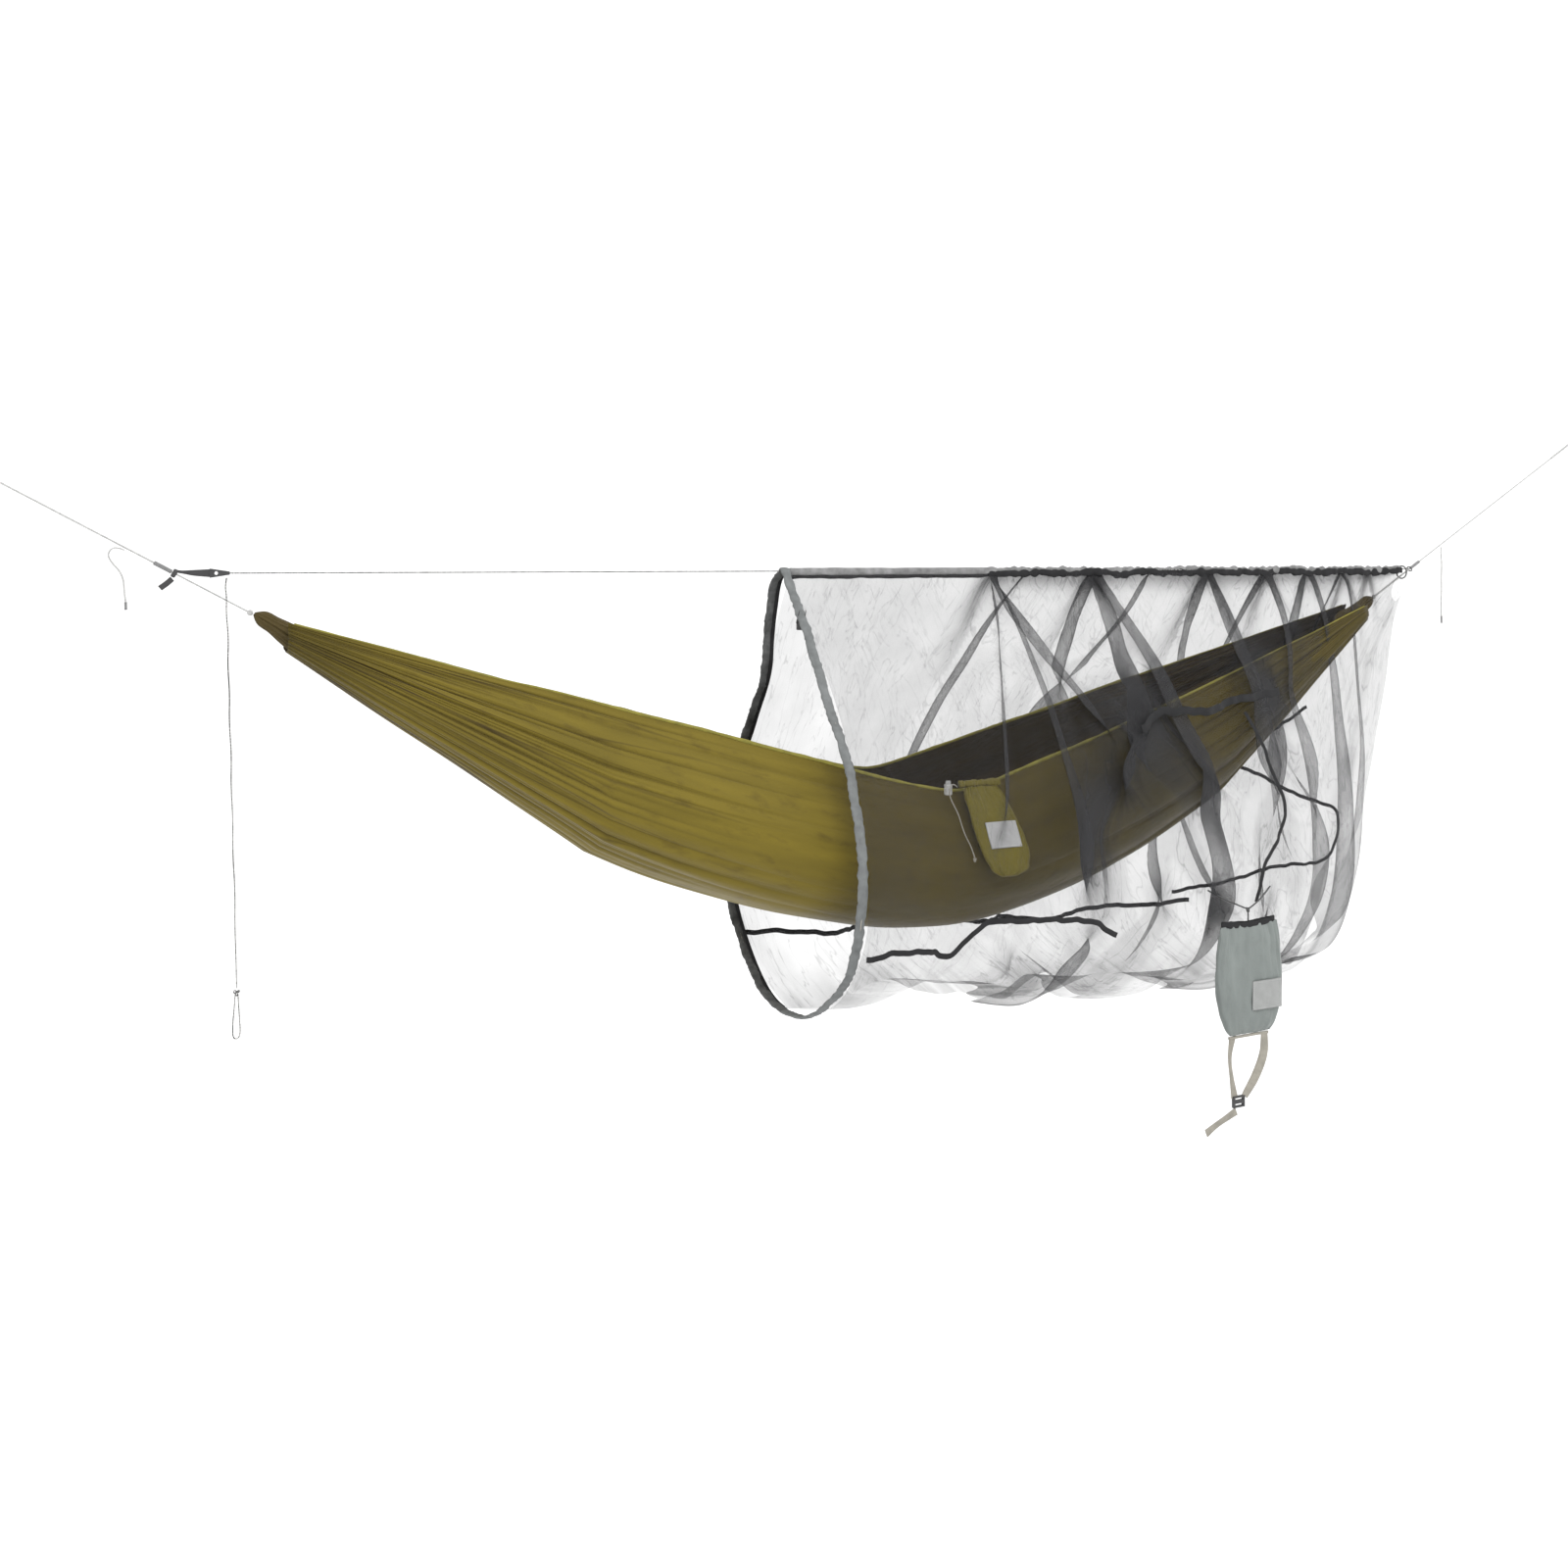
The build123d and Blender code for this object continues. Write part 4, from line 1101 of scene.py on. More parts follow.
    def wall(self, side: Side) -> None:
        """One wall of mesh, from the ridge channel to the lowest line."""
        name = side.name.lower()
        piece = woven(f"net_wall_{name}", self.columns, self.rows, lambda s, t: self.wall_points(s, t, side),
                      self.cut)
        dress(piece, self.finishes.mesh)
        settle(piece, "net_fabric", "mesh_black", *(["net_mesh"] if side is Side.NEAR else []))

    def channel(self) -> None:
        """The ruffled channel that slides on the ridgeline, with the dark tape sewn under it."""
        x = np.linspace(self.TOP[0], self.TOP[1] - 2 * MM, 420)
        loose = ease(1.98, 2.06, x)
        sway, swell = Ripple(71), Ripple(73, 14)
        y = sway.at(x * 7) * 3.5 * MM * loose
        path = np.stack([x, y, RIDGE_Z - 1 * MM + sway.at(x * 9, 2) * 2.0 * MM * loose], 1)

        def shape(share: Array, angle: Array) -> tuple[Array, Array]:
            """A flat tube, bunched into uneven ruffles along its gathered part."""
            place = self.TOP[0] + share * (self.TOP[1] - self.TOP[0])
            bunch = ease(1.98, 2.06, place) * swell.at(place * 34, np.cos(angle) * 0.2)
            flat = swell.at(place * 12) * 0.06
            return (3.4 * MM * (1 + 0.60 * bunch + flat) * np.cos(angle),
                    6.8 * MM * (1 + 0.34 * bunch + flat) * np.sin(angle))

        piece = swept("ridge_channel", path, NEAR, UP, shape, around=16)
        dress(piece, self.finishes.sleeve)
        settle(piece, "net_fabric", "sleeve_mesh_grey", "net_ridge_sleeve")

        wave = Ripple(79, 12)
        under = path.copy()
        under[:, 1] += wave.at(x * 18) * 3.0 * MM * (0.25 + loose) - 5.0 * MM * loose
        under[:, 2] = RIDGE_Z + (4.5 * loose - 10.0 + wave.at(x * 14, 3) * 2.6 * (0.35 + loose)) * MM

        def ruffled(share: Array, angle: Array) -> tuple[Array, Array]:
            """A tape that is bunched into deep ruffles along the gathered part."""
            place = self.TOP[0] + share * (self.TOP[1] - self.TOP[0])
            bunch = ease(1.98, 2.06, place) * (0.75 + 0.6 * swell.at(place * 38, 5))
            wide, high = slab(1.6 * MM, 3.6 * MM)(share, angle)
            return wide * (1 + bunch), high * (1 + bunch)

        tape = swept("channel_tape", under, NEAR, UP, ruffled, around=10)
        dress(tape, self.finishes.dark_tape)
        settle(tape, "net_fabric", "tape_dark")

    def tapes(self) -> None:
        """The dark tapes that cover the wall's seams."""
        runs = {
            "net_seam_near": (Side.NEAR, 4.8, ((1.602, -0.952), (1.66, -0.944), (1.70, -0.944), (1.75, -0.961),
                                               (1.775, -0.935), (1.80, -0.908), (1.87, -0.906), (1.95, -0.912),
                                               (2.00, -0.921), (2.035, -0.938), (2.07, -0.960))),
            "net_seam_far": (Side.FAR, 4.8, ((1.602, -1.016), (1.75, -1.030), (1.90, -1.036), (2.01, -1.042),
                                             (2.15, -1.052), (2.30, -1.064), (2.45, -1.059), (2.57, -1.056),
                                             (2.68, -1.048))),
            "foot_seam_near": (Side.NEAR, 4.0, ((2.455, -0.60), (2.467, -0.649), (2.472, -0.71), (2.479, -0.781),
                                                (2.45, -0.82), (2.401, -0.862), (2.388, -0.90), (2.377, -0.937))),
            "foot_seam_back": (Side.FAR, 4.0, ((2.90, -0.635), (2.86, -0.665), (2.81, -0.695), (2.775, -0.72),
                                               (2.76, -0.745), (2.84, -0.80), (2.915, -0.865), (2.905, -0.93),
                                               (2.80, -0.99), (2.70, -1.02), (2.60, -1.035))),
            "belly_seam_near": (Side.NEAR, 7.5, ((2.175, -0.615), (2.24, -0.590), (2.30, -0.590), (2.36, -0.592),
                                                 (2.43, -0.578), (2.50, -0.575), (2.585, -0.566))),
        }
        for k, (name, (side, width, knots)) in enumerate(runs.items()):
            knots = np.array(knots)
            line = even(np.stack([knots[:, 0], np.zeros(len(knots)), knots[:, 1]], 1), 150)
            points = self.wall_at(line[:, 0], line[:, 2], side)
            points = even(points[::5], 150)
            points[:, 1] += side.value * (9 + 2.0 * Ripple(83 + k).at(line[:, 0] * 16)) * MM
            points[:, 2] += Ripple(89 + k).at(line[:, 0] * 22) * 2.2 * MM
            along = np.gradient(points, axis=0)
            along /= np.linalg.norm(along, axis=1, keepdims=True)
            rise = np.cross(along, NEAR)
            rise /= np.linalg.norm(rise, axis=1, keepdims=True)
            piece = swept(name + "_tape", points, rise, NEAR, slab(width * MM, 0.5 * MM), around=8)
            dress(piece, self.finishes.dark_tape)
            settle(piece, "net_fabric", "tape_dark", *([name] if name.startswith("net_seam") else []))


@dataclass
class NetMouth:
    """The net's open end: its binding in two halves, edge tape, drawcord and cord lock."""

    finishes: Finishes
    x: float = 1.591
    top_z: float = -0.326
    low_z: float = -1.110
    half_width: float = 0.290

    def outline(self, side: Side, count: int) -> Array:
        """Half of the mouth's outline, from the top seam to the bottom one."""
        w, top, low = self.half_width, self.top_z, self.low_z
        if side is Side.NEAR:
            hang = [(0.030, 0.045), (0.076, 0.098), (0.60 * w, 0.230), (0.86 * w, 0.350), (0.985 * w, 0.465),
                    (0.975 * w, 0.560), (0.88 * w, 0.640), (0.53 * w, 0.735)]
        else:
            hang = [(0.034, 0.020), (0.058, 0.075), (0.072, 0.130), (0.078, 0.175), (0.50 * w, 0.283),
                    (0.80 * w, 0.415), (0.90 * w, 0.535), (0.84 * w, 0.616), (0.65 * w, 0.693)]
        lower = [(0.06, low + 0.008), (0.001, low + 0.002)]
        corners = [(0.002, top - 0.003), *[(y, top - z) for y, z in hang], *lower]
        return even([(self.x, side.value * y, z) for y, z in corners], count)

    def build(self) -> None:
        """Make and place the binding, and dress the parts that are kept."""
        for side in Side:
            self.binding(side)
        self.edge_tape()
        self.drawcord()
        dress_nodes(self.finishes.dark_cord, "mouth_lock_cord")
        dress_nodes(self.finishes.plastic, "mouth_cord_lock", "mouth_lock_plunger")
        squeezed("mouth_lock_spring", self.finishes.steel)

    def drawcord(self) -> None:
        """The cord that runs round inside the binding."""
        loop = np.concatenate([self.outline(Side.NEAR, 60)[1:-1], self.outline(Side.FAR, 60)[-2:0:-1]])
        cord = cord_curve("mouth_drawcord_line", [[tuple(p) for p in loop]], 1.0 * MM)
        dress(cord, self.finishes.drawcord)
        settle(cord, "net_mouth", "drawcord_grey", "mouth_drawcord")

    def binding(self, side: Side) -> None:
        """The folded binding on one side, softly rucked by the cord inside it."""
        path = self.outline(side, 260)
        along = np.gradient(path, axis=0)
        along /= np.linalg.norm(along, axis=1, keepdims=True)
        thick = np.cross(ALONG, along)
        ruck, sway = Ripple(101 + side.value, 14), Ripple(103 + side.value)
        share = np.linspace(0, 1, len(path))
        path[:, 0] += sway.at(share * 6) * 1.8 * MM
        path += thick * (sway.at(share * 8, 2) * 1.8 * MM)[:, None]

        def shape(part: Array, angle: Array) -> tuple[Array, Array]:
            """A soft flat tube with small rucks."""
            puff = 1 + 0.14 * ruck.at(part * 44) + 0.06 * ruck.at(part * 90, np.cos(angle) * 0.4)
            c, d = np.cos(angle), np.sin(angle)
            return (8.6 * MM * puff * np.sign(c) * np.abs(c) ** 0.7,
                    3.0 * MM * puff * np.sign(d) * np.abs(d) ** 0.8)

        piece = swept(f"mouth_binding_{side.name.lower()}_cover", path, ALONG, thick, shape, around=20)
        near = side is Side.NEAR
        dress(piece, self.finishes.binding_near if near else self.finishes.binding_far)
        settle(piece, "net_mouth", "binding_light" if near else "binding_dark",
               f"mouth_binding_{side.name.lower()}")

    def edge_tape(self) -> None:
        """The dark tape on the inner edge of the far binding."""
        path = self.outline(Side.FAR, 160)[4:-4] + np.array((7.5 * MM, -5 * MM, 0))
        along = np.gradient(path, axis=0)
        along /= np.linalg.norm(along, axis=1, keepdims=True)
        piece = swept("mouth_edge_tape", path, ALONG, np.cross(ALONG, along), slab(3.6 * MM, 0.8 * MM), around=8)
        dress(piece, self.finishes.dark_tape)
        settle(piece, "net_mouth", "tape_dark")


# ---------------------------------------------------------------- lines, straps and tails


@dataclass
class Suspension:
    """Both ends' lines with their splices and loops, and the anchor rings."""

    finishes: Finishes
    radius: float = 1.5 * MM
    bury_end: float = 0.158
    sleeve_x: float = 0.563

    def build(self) -> None:
        """Make the taut lines and dress the spliced parts."""
        start, stop = self.bury_end, at_x(self.sleeve_x)
        for end, rope in ((End.LEFT, self.finishes.rope), (End.RIGHT, self.finishes.rope_right)):
            name = end.name.lower()
            steps = (stop - 0.2 * MM, stop - 0.05, (start + stop) / 2, start + 0.05, start + 0.2 * MM)
            route = [tuple(on_line(d, end)) for d in steps]
            line = cord_curve(f"suspension_rope_{name}", [route], self.radius)
            dress(line, rope)
            settle(line, "hammock", "rope_grey", f"suspension_line_{name}")
            dress_nodes(rope, f"suspension_eye_{name}", f"end_loop_{name}")
            dress_nodes(self.finishes.splice, f"adjuster_sleeve_{name}")
            dress_nodes(self.finishes.alloy, f"anchor_ring_{name}")


@dataclass
class Ridgeline:
    """The ridge cord with its strap, tag, line lock and both hitches."""

    finishes: Finishes
    start_x: float = 0.668
    end_x: float = SPAN - HITCH_X - 0.012

    def build(self) -> None:
        """Make the taut cord and its webbing."""
        steps = (0, 0.04, 0.5, 0.96, 1)
        span = self.end_x - self.start_x
        route = [(self.start_x + 0.2 * MM + share * (span - 0.4 * MM), 0, RIDGE_Z) for share in steps]
        cord = cord_curve("ridge_cord", [route], 1.0 * MM)
        dress(cord, self.finishes.ridge)
        settle(cord, "hammock", "cord_reflective", "ridgeline")
        self.strap()
        self.tag()
        dress_nodes(self.finishes.plastic, "line_lock")
        dress_nodes(self.finishes.dark_cord, "ridge_loop_right")

    def strap(self) -> None:
        """The webbing from the hitch to the line lock, folded at its hitch."""
        path = even([(HITCH_X - 0.001, 0, RIDGE_Z + 0.004), (HITCH_X + 0.006, 0, RIDGE_Z + 0.0025),
                     (HITCH_X + 0.020, 0, RIDGE_Z + 0.001), (0.643, 0, RIDGE_Z)], 60)

        def shape(share: Array, angle: Array) -> tuple[Array, Array]:
            """Webbing that opens out from the hitch."""
            wide = through([0, 0.15, 0.5, 1], [2.4 * MM, 2.2 * MM, 4.2 * MM, 6.2 * MM], share)
            c, d = np.cos(angle), np.sin(angle)
            return wide * np.sign(c) * np.abs(c) ** 0.4, 1.1 * MM * np.sign(d) * np.abs(d) ** 0.5

        strap = swept("ridge_webbing", path, UP, NEAR, shape, around=14)
        dress(strap, self.finishes.webbing)
        settle(strap, "hammock", "webbing_dark", "ridge_strap")
        turns = np.linspace(0, 2 * math.pi, 49)
        centre, line = on_line(at_x(HITCH_X)), on_line(1.0)
        across = np.cross(line, NEAR)
        ring = centre + 5.4 * MM * (np.cos(turns)[:, None] * NEAR + np.sin(turns)[:, None] * across)
        radial = (ring - centre) / (5.4 * MM)

        def round_shape(share: Array, angle: Array) -> tuple[Array, Array]:
            """A flat band round the rope's two strands."""
            return 3.2 * MM * np.cos(angle), 1.2 * MM * np.sin(angle)

        hitch = swept("ridge_hitch_band", ring, line, radial, round_shape, around=10)
        dress(hitch, self.finishes.webbing)
        settle(hitch, "hammock", "webbing_dark")

    def tag(self) -> None:
        """The flat pull tag below the hitch."""
        path = even([(HITCH_X - 0.003, 0, RIDGE_Z - 0.008), (HITCH_X - 0.012, -0.001, RIDGE_Z - 0.016),
                     (HITCH_X - 0.020, 0, RIDGE_Z - 0.022)], 24)
        side = np.cross((path[-1] - path[0]) / np.linalg.norm(path[-1] - path[0]), NEAR)
        tag = swept("pull_tag", path, side, NEAR, slab(4.2 * MM, 1.0 * MM), around=12)
        dress(tag, self.finishes.webbing)
        settle(tag, "hammock", "webbing_dark", "ridge_strap_tag")


@dataclass
class Tails:
    """The three free cord ends that hang from the lines."""

    finishes: Finishes

    LEFT = ((0.5230, -0.0036, -0.2990), (0.5130, -0.0042, -0.2945), (0.5040, -0.0050, -0.2975),
            (0.5005, -0.0054, -0.3075), (0.5070, -0.0050, -0.3185), (0.5165, -0.0046, -0.3290),
            (0.5220, -0.0044, -0.3430), (0.5225, -0.0046, -0.3590), (0.5245, -0.0044, -0.3740))
    RIGHT = ((3.2030, -0.0036, -0.2850), (3.1990, -0.0040, -0.2950), (3.2015, -0.0044, -0.3060),
             (3.2030, -0.0042, -0.3250), (3.2015, -0.0045, -0.3500), (3.2022, -0.0044, -0.3820),
             (3.2010, -0.0042, -0.4100), (3.2016, -0.0044, -0.4370))
    RIDGE = ((0.6630, -0.0080, -0.340), (0.6605, -0.0086, -0.352), (0.6630, -0.0092, -0.368),
             (0.6620, -0.0098, -0.392), (0.6655, -0.0104, -0.430), (0.6640, -0.0110, -0.470),
             (0.6670, -0.0116, -0.512), (0.6660, -0.0122, -0.556), (0.6695, -0.0120, -0.602),
             (0.6685, -0.0124, -0.650), (0.6715, -0.0128, -0.700), (0.6710, -0.0122, -0.752),
             (0.6745, -0.0126, -0.806), (0.6740, -0.0130, -0.860), (0.6760, -0.0128, -0.915),
             (0.6765, -0.0130, -0.953))

    def build(self) -> None:
        """Make and place the three tails."""
        for name, route, length in (("left", self.LEFT, 0.102), ("right", self.RIGHT, 0.153)):
            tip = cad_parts[f"tail_{name}_tip"]
            dress(tip, self.finishes.splice)
            cord = cord_curve(f"rope_tail_{name}", [list(route)], 1.25 * MM)
            dress(cord, self.finishes.rope)
            settle(cord, f"{name}_tail", "rope_grey", f"tail_{name}")
        self.ridge_tail()

    def ridge_tail(self) -> None:
        """The ridge cord's long tail, with a knot in its doubled end."""
        x, y, z = self.RIDGE[-1]
        knot = overhand((x, y, z - 0.0065), 5.2 * MM)
        end = cord_curve("ridge_tail_overhand", [knot], 1.0 * MM)
        loop = [(x - 0.002, y, z - 0.010), (x - 0.0030, y, z - 0.026), (x - 0.0050, y - 0.001, z - 0.045),
                (x - 0.0058, y - 0.001, z - 0.062), (x - 0.0050, y - 0.001, z - 0.073), (x, y, z - 0.0765),
                (x + 0.0048, y, z - 0.072), (x + 0.0052, y, z - 0.060), (x + 0.0040, y, z - 0.044),
                (x + 0.0030, y, z - 0.026), (x + 0.002, y, z - 0.010)]
        doubled = cord_curve("ridge_tail_loop", [loop], 1.0 * MM)
        cord = cord_curve("ridge_tail_line", [list(self.RIDGE)], 1.0 * MM)
        for piece, node in ((end, "ridge_tail_knot"), (doubled, None), (cord, "ridge_tail")):
            dress(piece, self.finishes.tracer_tail)
            settle(piece, "ridge_tail_cord", "cord_reflective", *([node] if node else []))


# ---------------------------------------------------------------- pouch and sack


@dataclass
class StuffPouch:
    """The small pouch on the hammock's near edge, with its label and drawcord."""

    finishes: Finishes
    x: float = 1.902
    top: tuple[float, float] = (-0.182, -0.697)
    low: tuple[float, float] = (-0.262, -0.850)
    ROWS = ((-0.02, -60, 8, 3.0), (0.06, -57, 8, 3.4), (0.12, -60, 14, 5.0), (0.30, -60, 24, 6.5),
            (0.60, -58, 36, 7.0), (0.85, -48, 32, 6.2), (0.955, -38, 18, 4.2), (0.985, -28, 2, 2.0))
    CORD = ((1.824, -0.196, -0.702), (1.815, -0.200, -0.694), (1.805, -0.203, -0.700),
            (1.803, -0.205, -0.714), (1.809, -0.208, -0.729), (1.816, -0.213, -0.745),
            (1.818, -0.220, -0.763), (1.822, -0.226, -0.781), (1.829, -0.234, -0.799),
            (1.831, -0.241, -0.816))

    def point(self, across: Array, down: Array, forward: Array | float = 0.0) -> Array:
        """A point on the pouch's middle surface, moved out of it by forward."""
        run = np.array((0, self.low[0] - self.top[0], self.low[1] - self.top[1]))
        out = np.array((0, run[2], -run[1])) / np.linalg.norm(run)
        start = np.array((self.x, self.top[0], self.top[1]))
        across, down, forward = np.broadcast_arrays(across, down, forward)
        return start + ALONG * across[..., None] + run * down[..., None] + out * forward[..., None]

    def build(self) -> None:
        """Make and place the pouch, its drawn hem, label and drawcord."""
        rows = np.array(self.ROWS)
        share = np.linspace(rows[1, 0], rows[-1, 0], 90)
        sizes = through(rows[:, 0], rows[:, 1:] * MM, share)
        middle = (sizes[:, 0] + sizes[:, 1]) / 2
        path = self.point(middle, share)
        crush, gather = Ripple(131, 16), Ripple(137, 14)
        out = self.point(0.0, 0.0, 1.0) - self.point(0.0, 0.0)

        def shape(part: Array, angle: Array) -> tuple[Array, Array]:
            """A flat bag, crushed, with folds that run down from its drawn mouth."""
            down = rows[1, 0] + part * (rows[-1, 0] - rows[1, 0])
            size = through(rows[:, 0], rows[:, 1:] * MM, down)
            half, thick = (size[:, 1] - size[:, 0]) / 2, size[:, 2]
            c, d = np.cos(angle), np.sin(angle)
            folds = 1.7 * MM * gather.at(c * 5.0, down * 0.8) * (1 - ease(0.05, 0.6, down))
            dents = 1.3 * MM * crush.at(c * 2.6, down * 4.0)
            return half * np.sign(c) * np.abs(c) ** 0.8, (thick * np.abs(d) ** 0.55 + folds + dents) * np.sign(d)

        body = swept("pouch_cloth", path, ALONG, out, shape, around=150)
        dress(body, self.finishes.pouch)
        settle(body, "pouch", "pouch_cloth", "pouch_body")
        self.hem()
        self.label(out)
        self.drawcord()

    def hem(self) -> None:
        """The gathered channel at the pouch's mouth, sewn to the hammock's edge."""
        path = self.point(np.linspace(-0.066, 0.016, 120), np.full(120, 0.016))
        pucker = Ripple(139, 14)
        run = self.point(0.0, 1.0) - self.point(0.0, 0.0)
        out = self.point(0.0, 0.0, 1.0) - self.point(0.0, 0.0)

        def shape(share: Array, angle: Array) -> tuple[Array, Array]:
            """A puckered tube."""
            puff = 1 + 0.28 * pucker.at(share * 9, 0.3 * np.sin(angle))
            return 6.0 * MM * puff * np.cos(angle), 3.4 * MM * puff * np.sin(angle)

        hem = swept("pouch_channel", path, run / np.linalg.norm(run), out, shape, around=20)
        dress(hem, self.finishes.pouch)
        settle(hem, "hammock", "pouch_cloth", "pouch_hem")

    def label(self, out: Array) -> None:
        """The blank woven patch."""
        long = 0.1726

        def place(s: Array, t: Array) -> tuple[Array, dict[str, Array]]:
            """A patch that follows the pouch's swell."""
            bend = 1.4 * MM * (1 - (2 * s - 1) ** 2) + 0.5 * MM * Ripple(149).at(s * 1.5, t)
            return self.point(-0.040 + 0.062 * s, 0.715 - 0.27 * t, 7.7 * MM + bend), {}

        label = woven("pouch_patch", 36, 24, place, (0.062, 0.27 * long))
        wall = label.modifiers.new("wall", "SOLIDIFY")
        wall.thickness, wall.offset = 0.9 * MM, -1.0
        dress(label, self.finishes.pouch_label)
        settle(label, "pouch", "label_grey", "pouch_label")

    def drawcord(self) -> None:
        """The pouch's drawcord with its cord lock and end knot."""
        parts = ["pouch_cord_lock", "pouch_lock_plunger"]
        dress_nodes(self.finishes.clear_plastic, *parts)
        coil = squeezed("pouch_lock_spring", self.finishes.steel)
        x, y, z = self.CORD[-1]
        knot = cord_curve("pouch_cord_knot", [overhand((x, y, z - 0.003), 3.4 * MM)], 0.9 * MM)
        dress(knot, self.finishes.drawcord)
        settle(knot, "pouch", "drawcord_grey")
        cord = cord_curve("pouch_cord", [list(self.CORD)], 1.0 * MM)
        dress(cord, self.finishes.drawcord)
        settle(cord, "pouch", "drawcord_grey", "pouch_drawcord")


@dataclass
class NetSack:
    """The net's own stuff sack, tied to the net, with its webbing and buckle."""

    finishes: Finishes
    x: float = 2.347
    y: float = -0.330
    top_z: float = -0.962
    low_z: float = -1.155
    ROWS = ((-0.01, -62, 66, 4), (0.08, -65, 69, 9), (0.25, -70, 72, 12), (0.6, -70, 76, 15), (0.86, -58, 66, 12),
            (0.96, -49, 57, 7), (1.0, -42, 50, 2.5))

    def build(self) -> None:
        """Make and place the sack, its mouth, label, tie and webbing."""
        rows = np.array(self.ROWS)
        share = np.linspace(rows[0, 0], rows[-1, 0], 110)
        sizes = through(rows[:, 0], rows[:, 1:] * MM, share)
        drop = self.low_z - self.top_z
        path = np.stack([self.x + (sizes[:, 0] + sizes[:, 1]) / 2, np.full_like(share, self.y),
                         self.top_z + share * drop], 1)
        crush, gather = Ripple(151, 16), Ripple(157, 14)

        def shape(part: Array, angle: Array) -> tuple[Array, Array]:
            """A hanging bag with soft upright folds below its drawn mouth."""
            down = rows[0, 0] + part * (rows[-1, 0] - rows[0, 0])
            size = through(rows[:, 0], rows[:, 1:] * MM, down)
            half, thick = (size[:, 1] - size[:, 0]) / 2, size[:, 2]
            c, d = np.cos(angle), np.sin(angle)
            folds = 2.4 * MM * gather.at(c * 3.6, down * 0.5) * (1 - ease(0.1, 0.75, down))
            dents = 1.5 * MM * crush.at(c * 2.0, down * 3.2)
            return half * np.sign(c) * np.abs(c) ** 0.85, (thick * np.abs(d) ** 0.6 + folds + dents) * np.sign(d)

        body = swept("sack_cloth", path, ALONG, NEAR, shape, around=150)
        dress(body, self.finishes.sack)
        settle(body, "net_sack", "sack_cloth", "sack_body")
        self.mouth()
        self.label()
        self.tie()
        self.straps()

    def mouth(self) -> None:
        """The dark drawn channel, puckered round its cord, with the lead up to the knot."""
        turns = np.linspace(0, 2 * math.pi, 181)
        path = np.stack([self.x + 0.060 * np.cos(turns), self.y + 0.0050 * np.sin(turns),
                         self.top_z + 0.0035 + 0.0022 * np.cos(turns * 2)], 1)
        pucker = Ripple(163, 14)
        out = np.stack([np.cos(turns), np.sin(turns), 0 * turns], 1)

        def shape(share: Array, angle: Array) -> tuple[Array, Array]:
            """A puckered tube."""
            angle_on = share * 2 * math.pi
            puff = 1 + 0.2 * pucker.at(2 * np.cos(angle_on), 2 * np.sin(angle_on))
            return 1.7 * MM * puff * np.cos(angle), 5.0 * MM * puff * np.sin(angle)

        ring = swept("sack_channel", path, out, UP, shape, around=16)
        dress(ring, self.finishes.dark_tape)
        settle(ring, "net_sack", "sack_cloth", "sack_hem")
        knot_z = self.top_z + 0.027
        route = [(self.x, self.y, self.top_z + 0.002), (self.x + 0.001, self.y, knot_z - 0.014),
                 (self.x, self.y, knot_z - 0.0052)]
        lead = cord_curve("sack_lead", [route], 1.3 * MM)
        dress(lead, self.finishes.dark_cord)
        settle(lead, "net_sack", "cord_dark")

    def label(self) -> None:
        """The blank woven patch."""

        def place(s: Array, t: Array) -> tuple[Array, dict[str, Array]]:
            """A patch that follows the sack's swell."""
            bend = 1.6 * MM * (1 - (2 * s - 1) ** 2) + 0.6 * MM * Ripple(167).at(s * 1.4, t)
            x = self.x + 0.030 + 0.068 * (s - 0.5)
            return np.stack([x, self.y - 0.0160 - bend, -1.085 + 0.052 * (t - 0.5)], -1), {}

        label = woven("sack_patch", 36, 26, place, (0.068, 0.052))
        wall = label.modifiers.new("wall", "SOLIDIFY")
        wall.thickness, wall.offset = 0.9 * MM, -1.0
        dress(label, self.finishes.sack_label)
        settle(label, "net_sack", "label_grey", "sack_label")

    def tie(self) -> None:
        """The knotted cord that ties the sack to the net on both sides."""
        knot_z = self.top_z + 0.027
        steps = ((0.002, 0, 0), (0.025, 0.004, 0.3), (0.050, 0.014, 0.62), (0.072, 0.022, 1))
        arms = [
            [(self.x + out * k, self.y + back, knot_z + (up * rise or 0.001)) for out, back, up in steps]
            for k, rise in ((-1, 0.036), (1, 0.030))
        ]
        tie = cord_curve("sack_tie_cord", [overhand((self.x, self.y, knot_z), 4.4 * MM), *arms], 1.5 * MM)
        dress(tie, self.finishes.dark_cord)
        settle(tie, "sack_tie_knot", "cord_dark", "sack_tie")

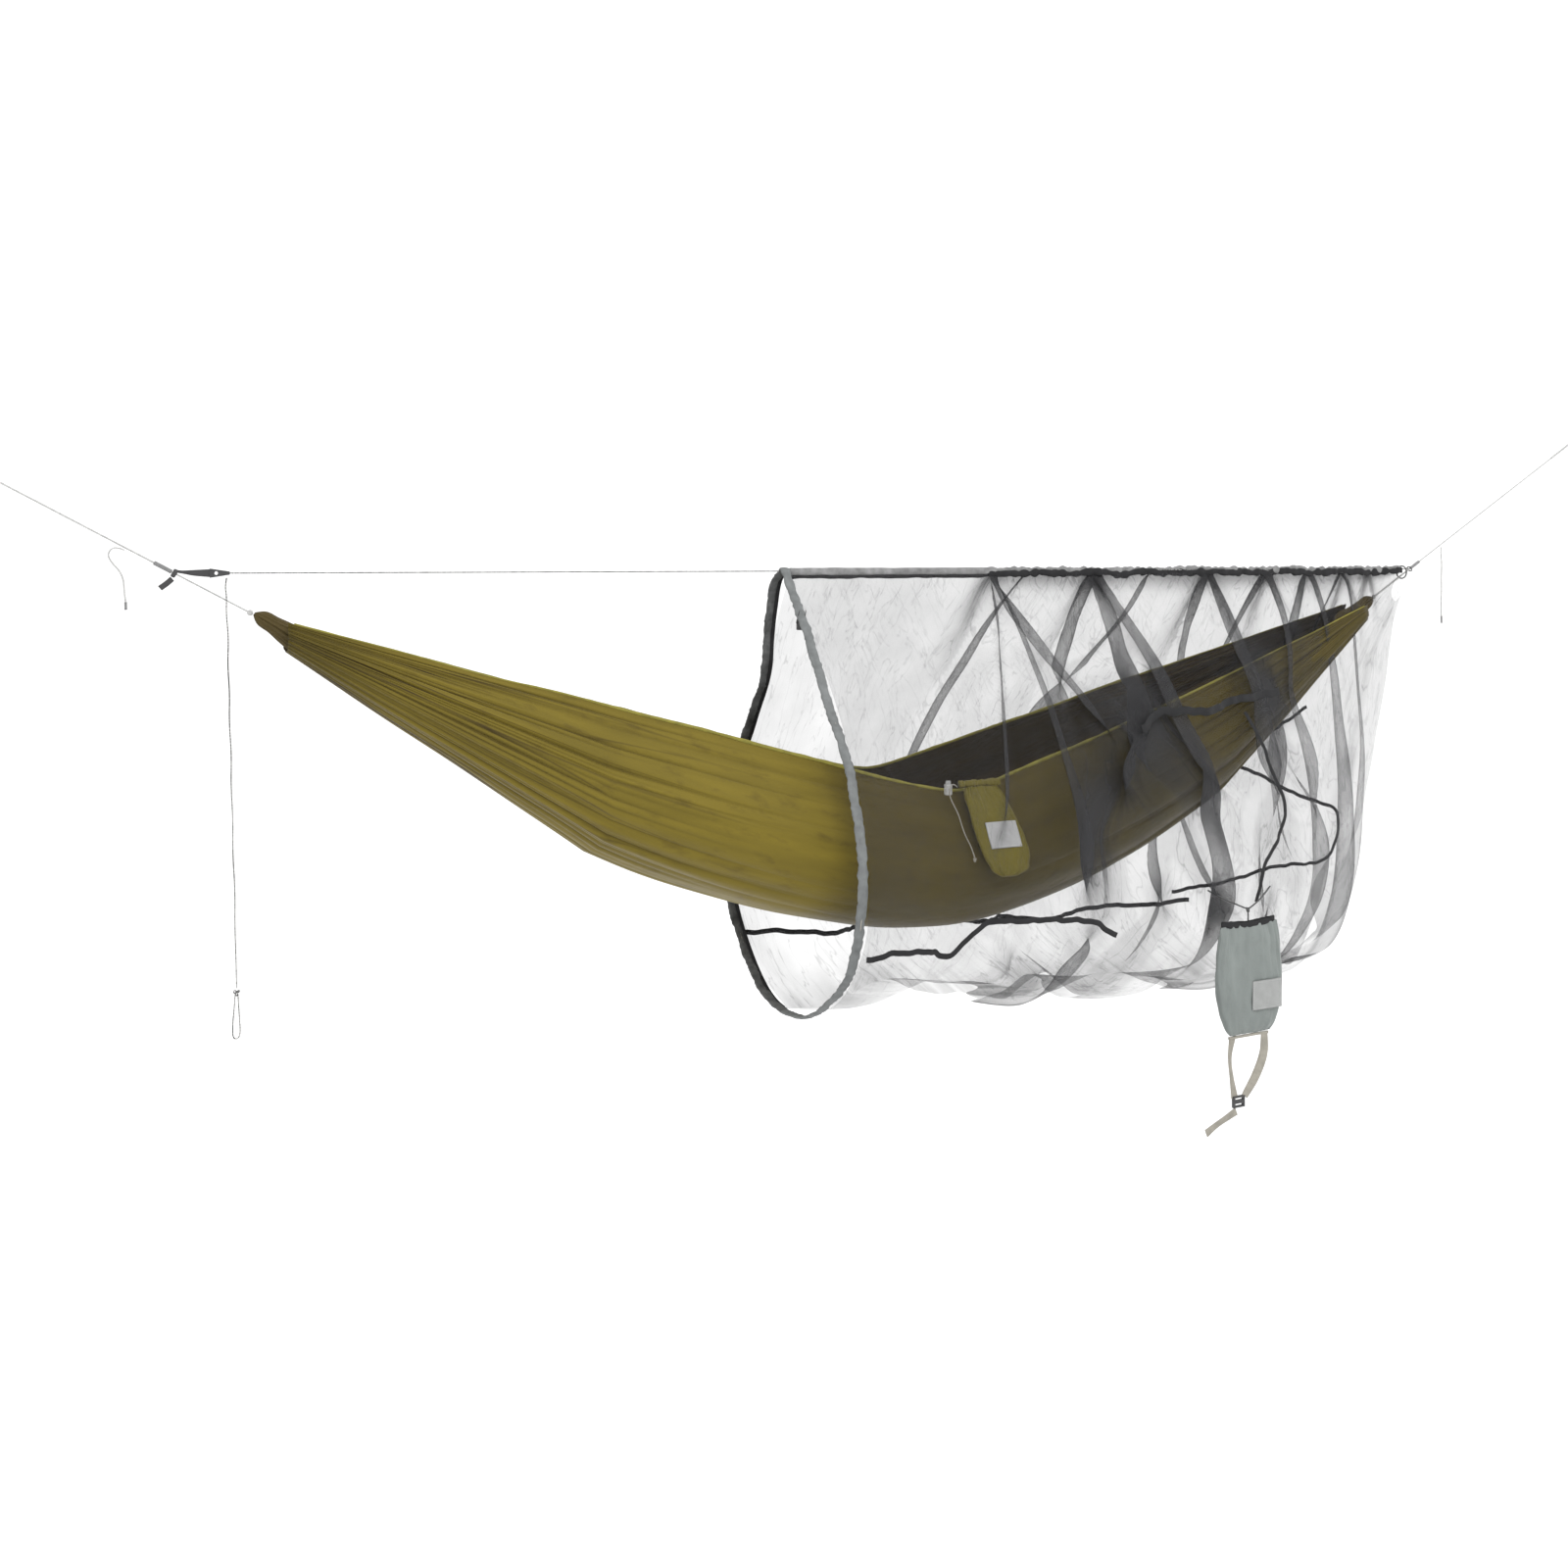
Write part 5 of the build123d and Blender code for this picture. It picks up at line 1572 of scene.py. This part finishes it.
    def straps(self) -> None:
        """The two webbing ends, the sewn bar above them and the free tail below the buckle."""
        top = self.low_z - 1.4 * MM
        runs = {
            "sack_webbing_left": ("sack_straps", 0.5, ((2.312, 0.001, top - 0.002), (2.308, 0.003, -1.195),
                                                       (2.311, 0.0015, -1.232), (2.317, 0.001, -1.266))),
            "sack_webbing_right": ("", -0.6, ((2.384, -0.001, top - 0.002), (2.380, -0.004, -1.190),
                                              (2.362, -0.003, -1.232), (2.338, -0.001, -1.266))),
            "sack_webbing_tail": ("sack_strap_tail", 0.3, ((2.320, 0, -1.290), (2.303, 0.001, -1.2975),
                                                           (2.277, 0.002, -1.3085), (2.252, 0, -1.319))),
        }
        for name, (node, twist, knots) in runs.items():
            path = even([(x, self.y + y, z) for x, y, z in knots], 70)
            along = np.gradient(path, axis=0)
            along /= np.linalg.norm(along, axis=1, keepdims=True)
            wide = np.cross(along, NEAR)
            lean = (twist * np.sin(np.linspace(0, math.pi, 70)))[:, None]
            side = wide * np.cos(lean) + NEAR * np.sin(lean)
            strap = swept(name, path, side, np.cross(side, along), slab(7.4 * MM, 0.8 * MM), around=16)
            dress(strap, self.finishes.tan_webbing)
            settle(strap, "sack_strap", "webbing_tan", *([node] if node else []))
        ends = [(x, self.y, top - 0.0026) for x in (2.303, 2.393)]
        bar = swept("sack_webbing_bar", np.linspace(*ends, 40), NEAR, UP, slab(2.0 * MM, 2.4 * MM, 0.6), around=14)
        dress(bar, self.finishes.tan_webbing)
        settle(bar, "sack_strap", "webbing_tan")
        dress_nodes(self.finishes.plastic, "sack_buckle")


# ---------------------------------------------------------------- studio


@dataclass
class Studio:
    """A pale floor, a white surround, soft lights and the camera."""

    floor_z: float = -1.75

    def build(self) -> None:
        """Set up everything that isn't the hammock."""
        scene = bpy.context.scene
        scene.view_settings.view_transform = "Standard"
        eye = bpy.data.cameras.new("camera")
        eye.lens, eye.sensor_width, eye.shift_y, eye.clip_end = 35.0, 36.0, -0.143, 4000.0
        camera = link("camera", eye)
        camera.location = (0.43, -2.42, -0.313)
        camera.rotation_euler = (math.radians(90), 0, math.radians(-25.6))
        scene.camera = camera

        grid = bmesh.new()
        bmesh.ops.create_grid(grid, x_segments=1, y_segments=1, size=2000.0)
        data = bpy.data.meshes.new("floor")
        grid.to_mesh(data)
        grid.free()
        data.transform(Matrix.Translation((MID, 0, self.floor_z)))
        floor = link("floor", data)
        b = Bench("pale_floor")
        tone = b.noise(b.place(), 0.6)
        dress(floor, b.wear(Base_Color=b.mix(tone, (0.86, 0.86, 0.86), (0.88, 0.88, 0.88)), Roughness=0.9))

        world = bpy.data.worlds.new("surround")
        world.use_nodes = True
        world.node_tree.nodes["Background"].inputs["Color"].default_value = (1, 1, 1, 1)
        world.node_tree.nodes["Background"].inputs["Strength"].default_value = 1.4
        scene.world = world
        for name, place, power, size in (("key", (0.7, -2.9, 2.0), 60.0, 2.2),
                                         ("fill", (3.6, -2.4, 0.6), 14.0, 2.2),
                                         ("back", (1.9, 2.6, 1.9), 30.0, 3.0)):
            lamp = bpy.data.lights.new(name, "AREA")
            lamp.energy, lamp.size = power, size
            light = link(name, lamp)
            light.location = place
            aim = Vector((MID, 0, -0.7)) - Vector(place)
            light.rotation_euler = aim.to_track_quat("-Z", "Y").to_euler()


def main() -> None:
    """Build the hammock piece by piece."""
    Studio().build()
    finishes = Finishes.make()
    for assembly in (Suspension, Ridgeline, Tails, HammockCloth, NetMouth, InsectNet, StuffPouch, NetSack):
        assembly(finishes).build()
        LOG.info("%s done", assembly.__name__)


if __name__ == "__main__":
    logging.basicConfig(level=logging.INFO, format="%(name)s: %(message)s")
    main()
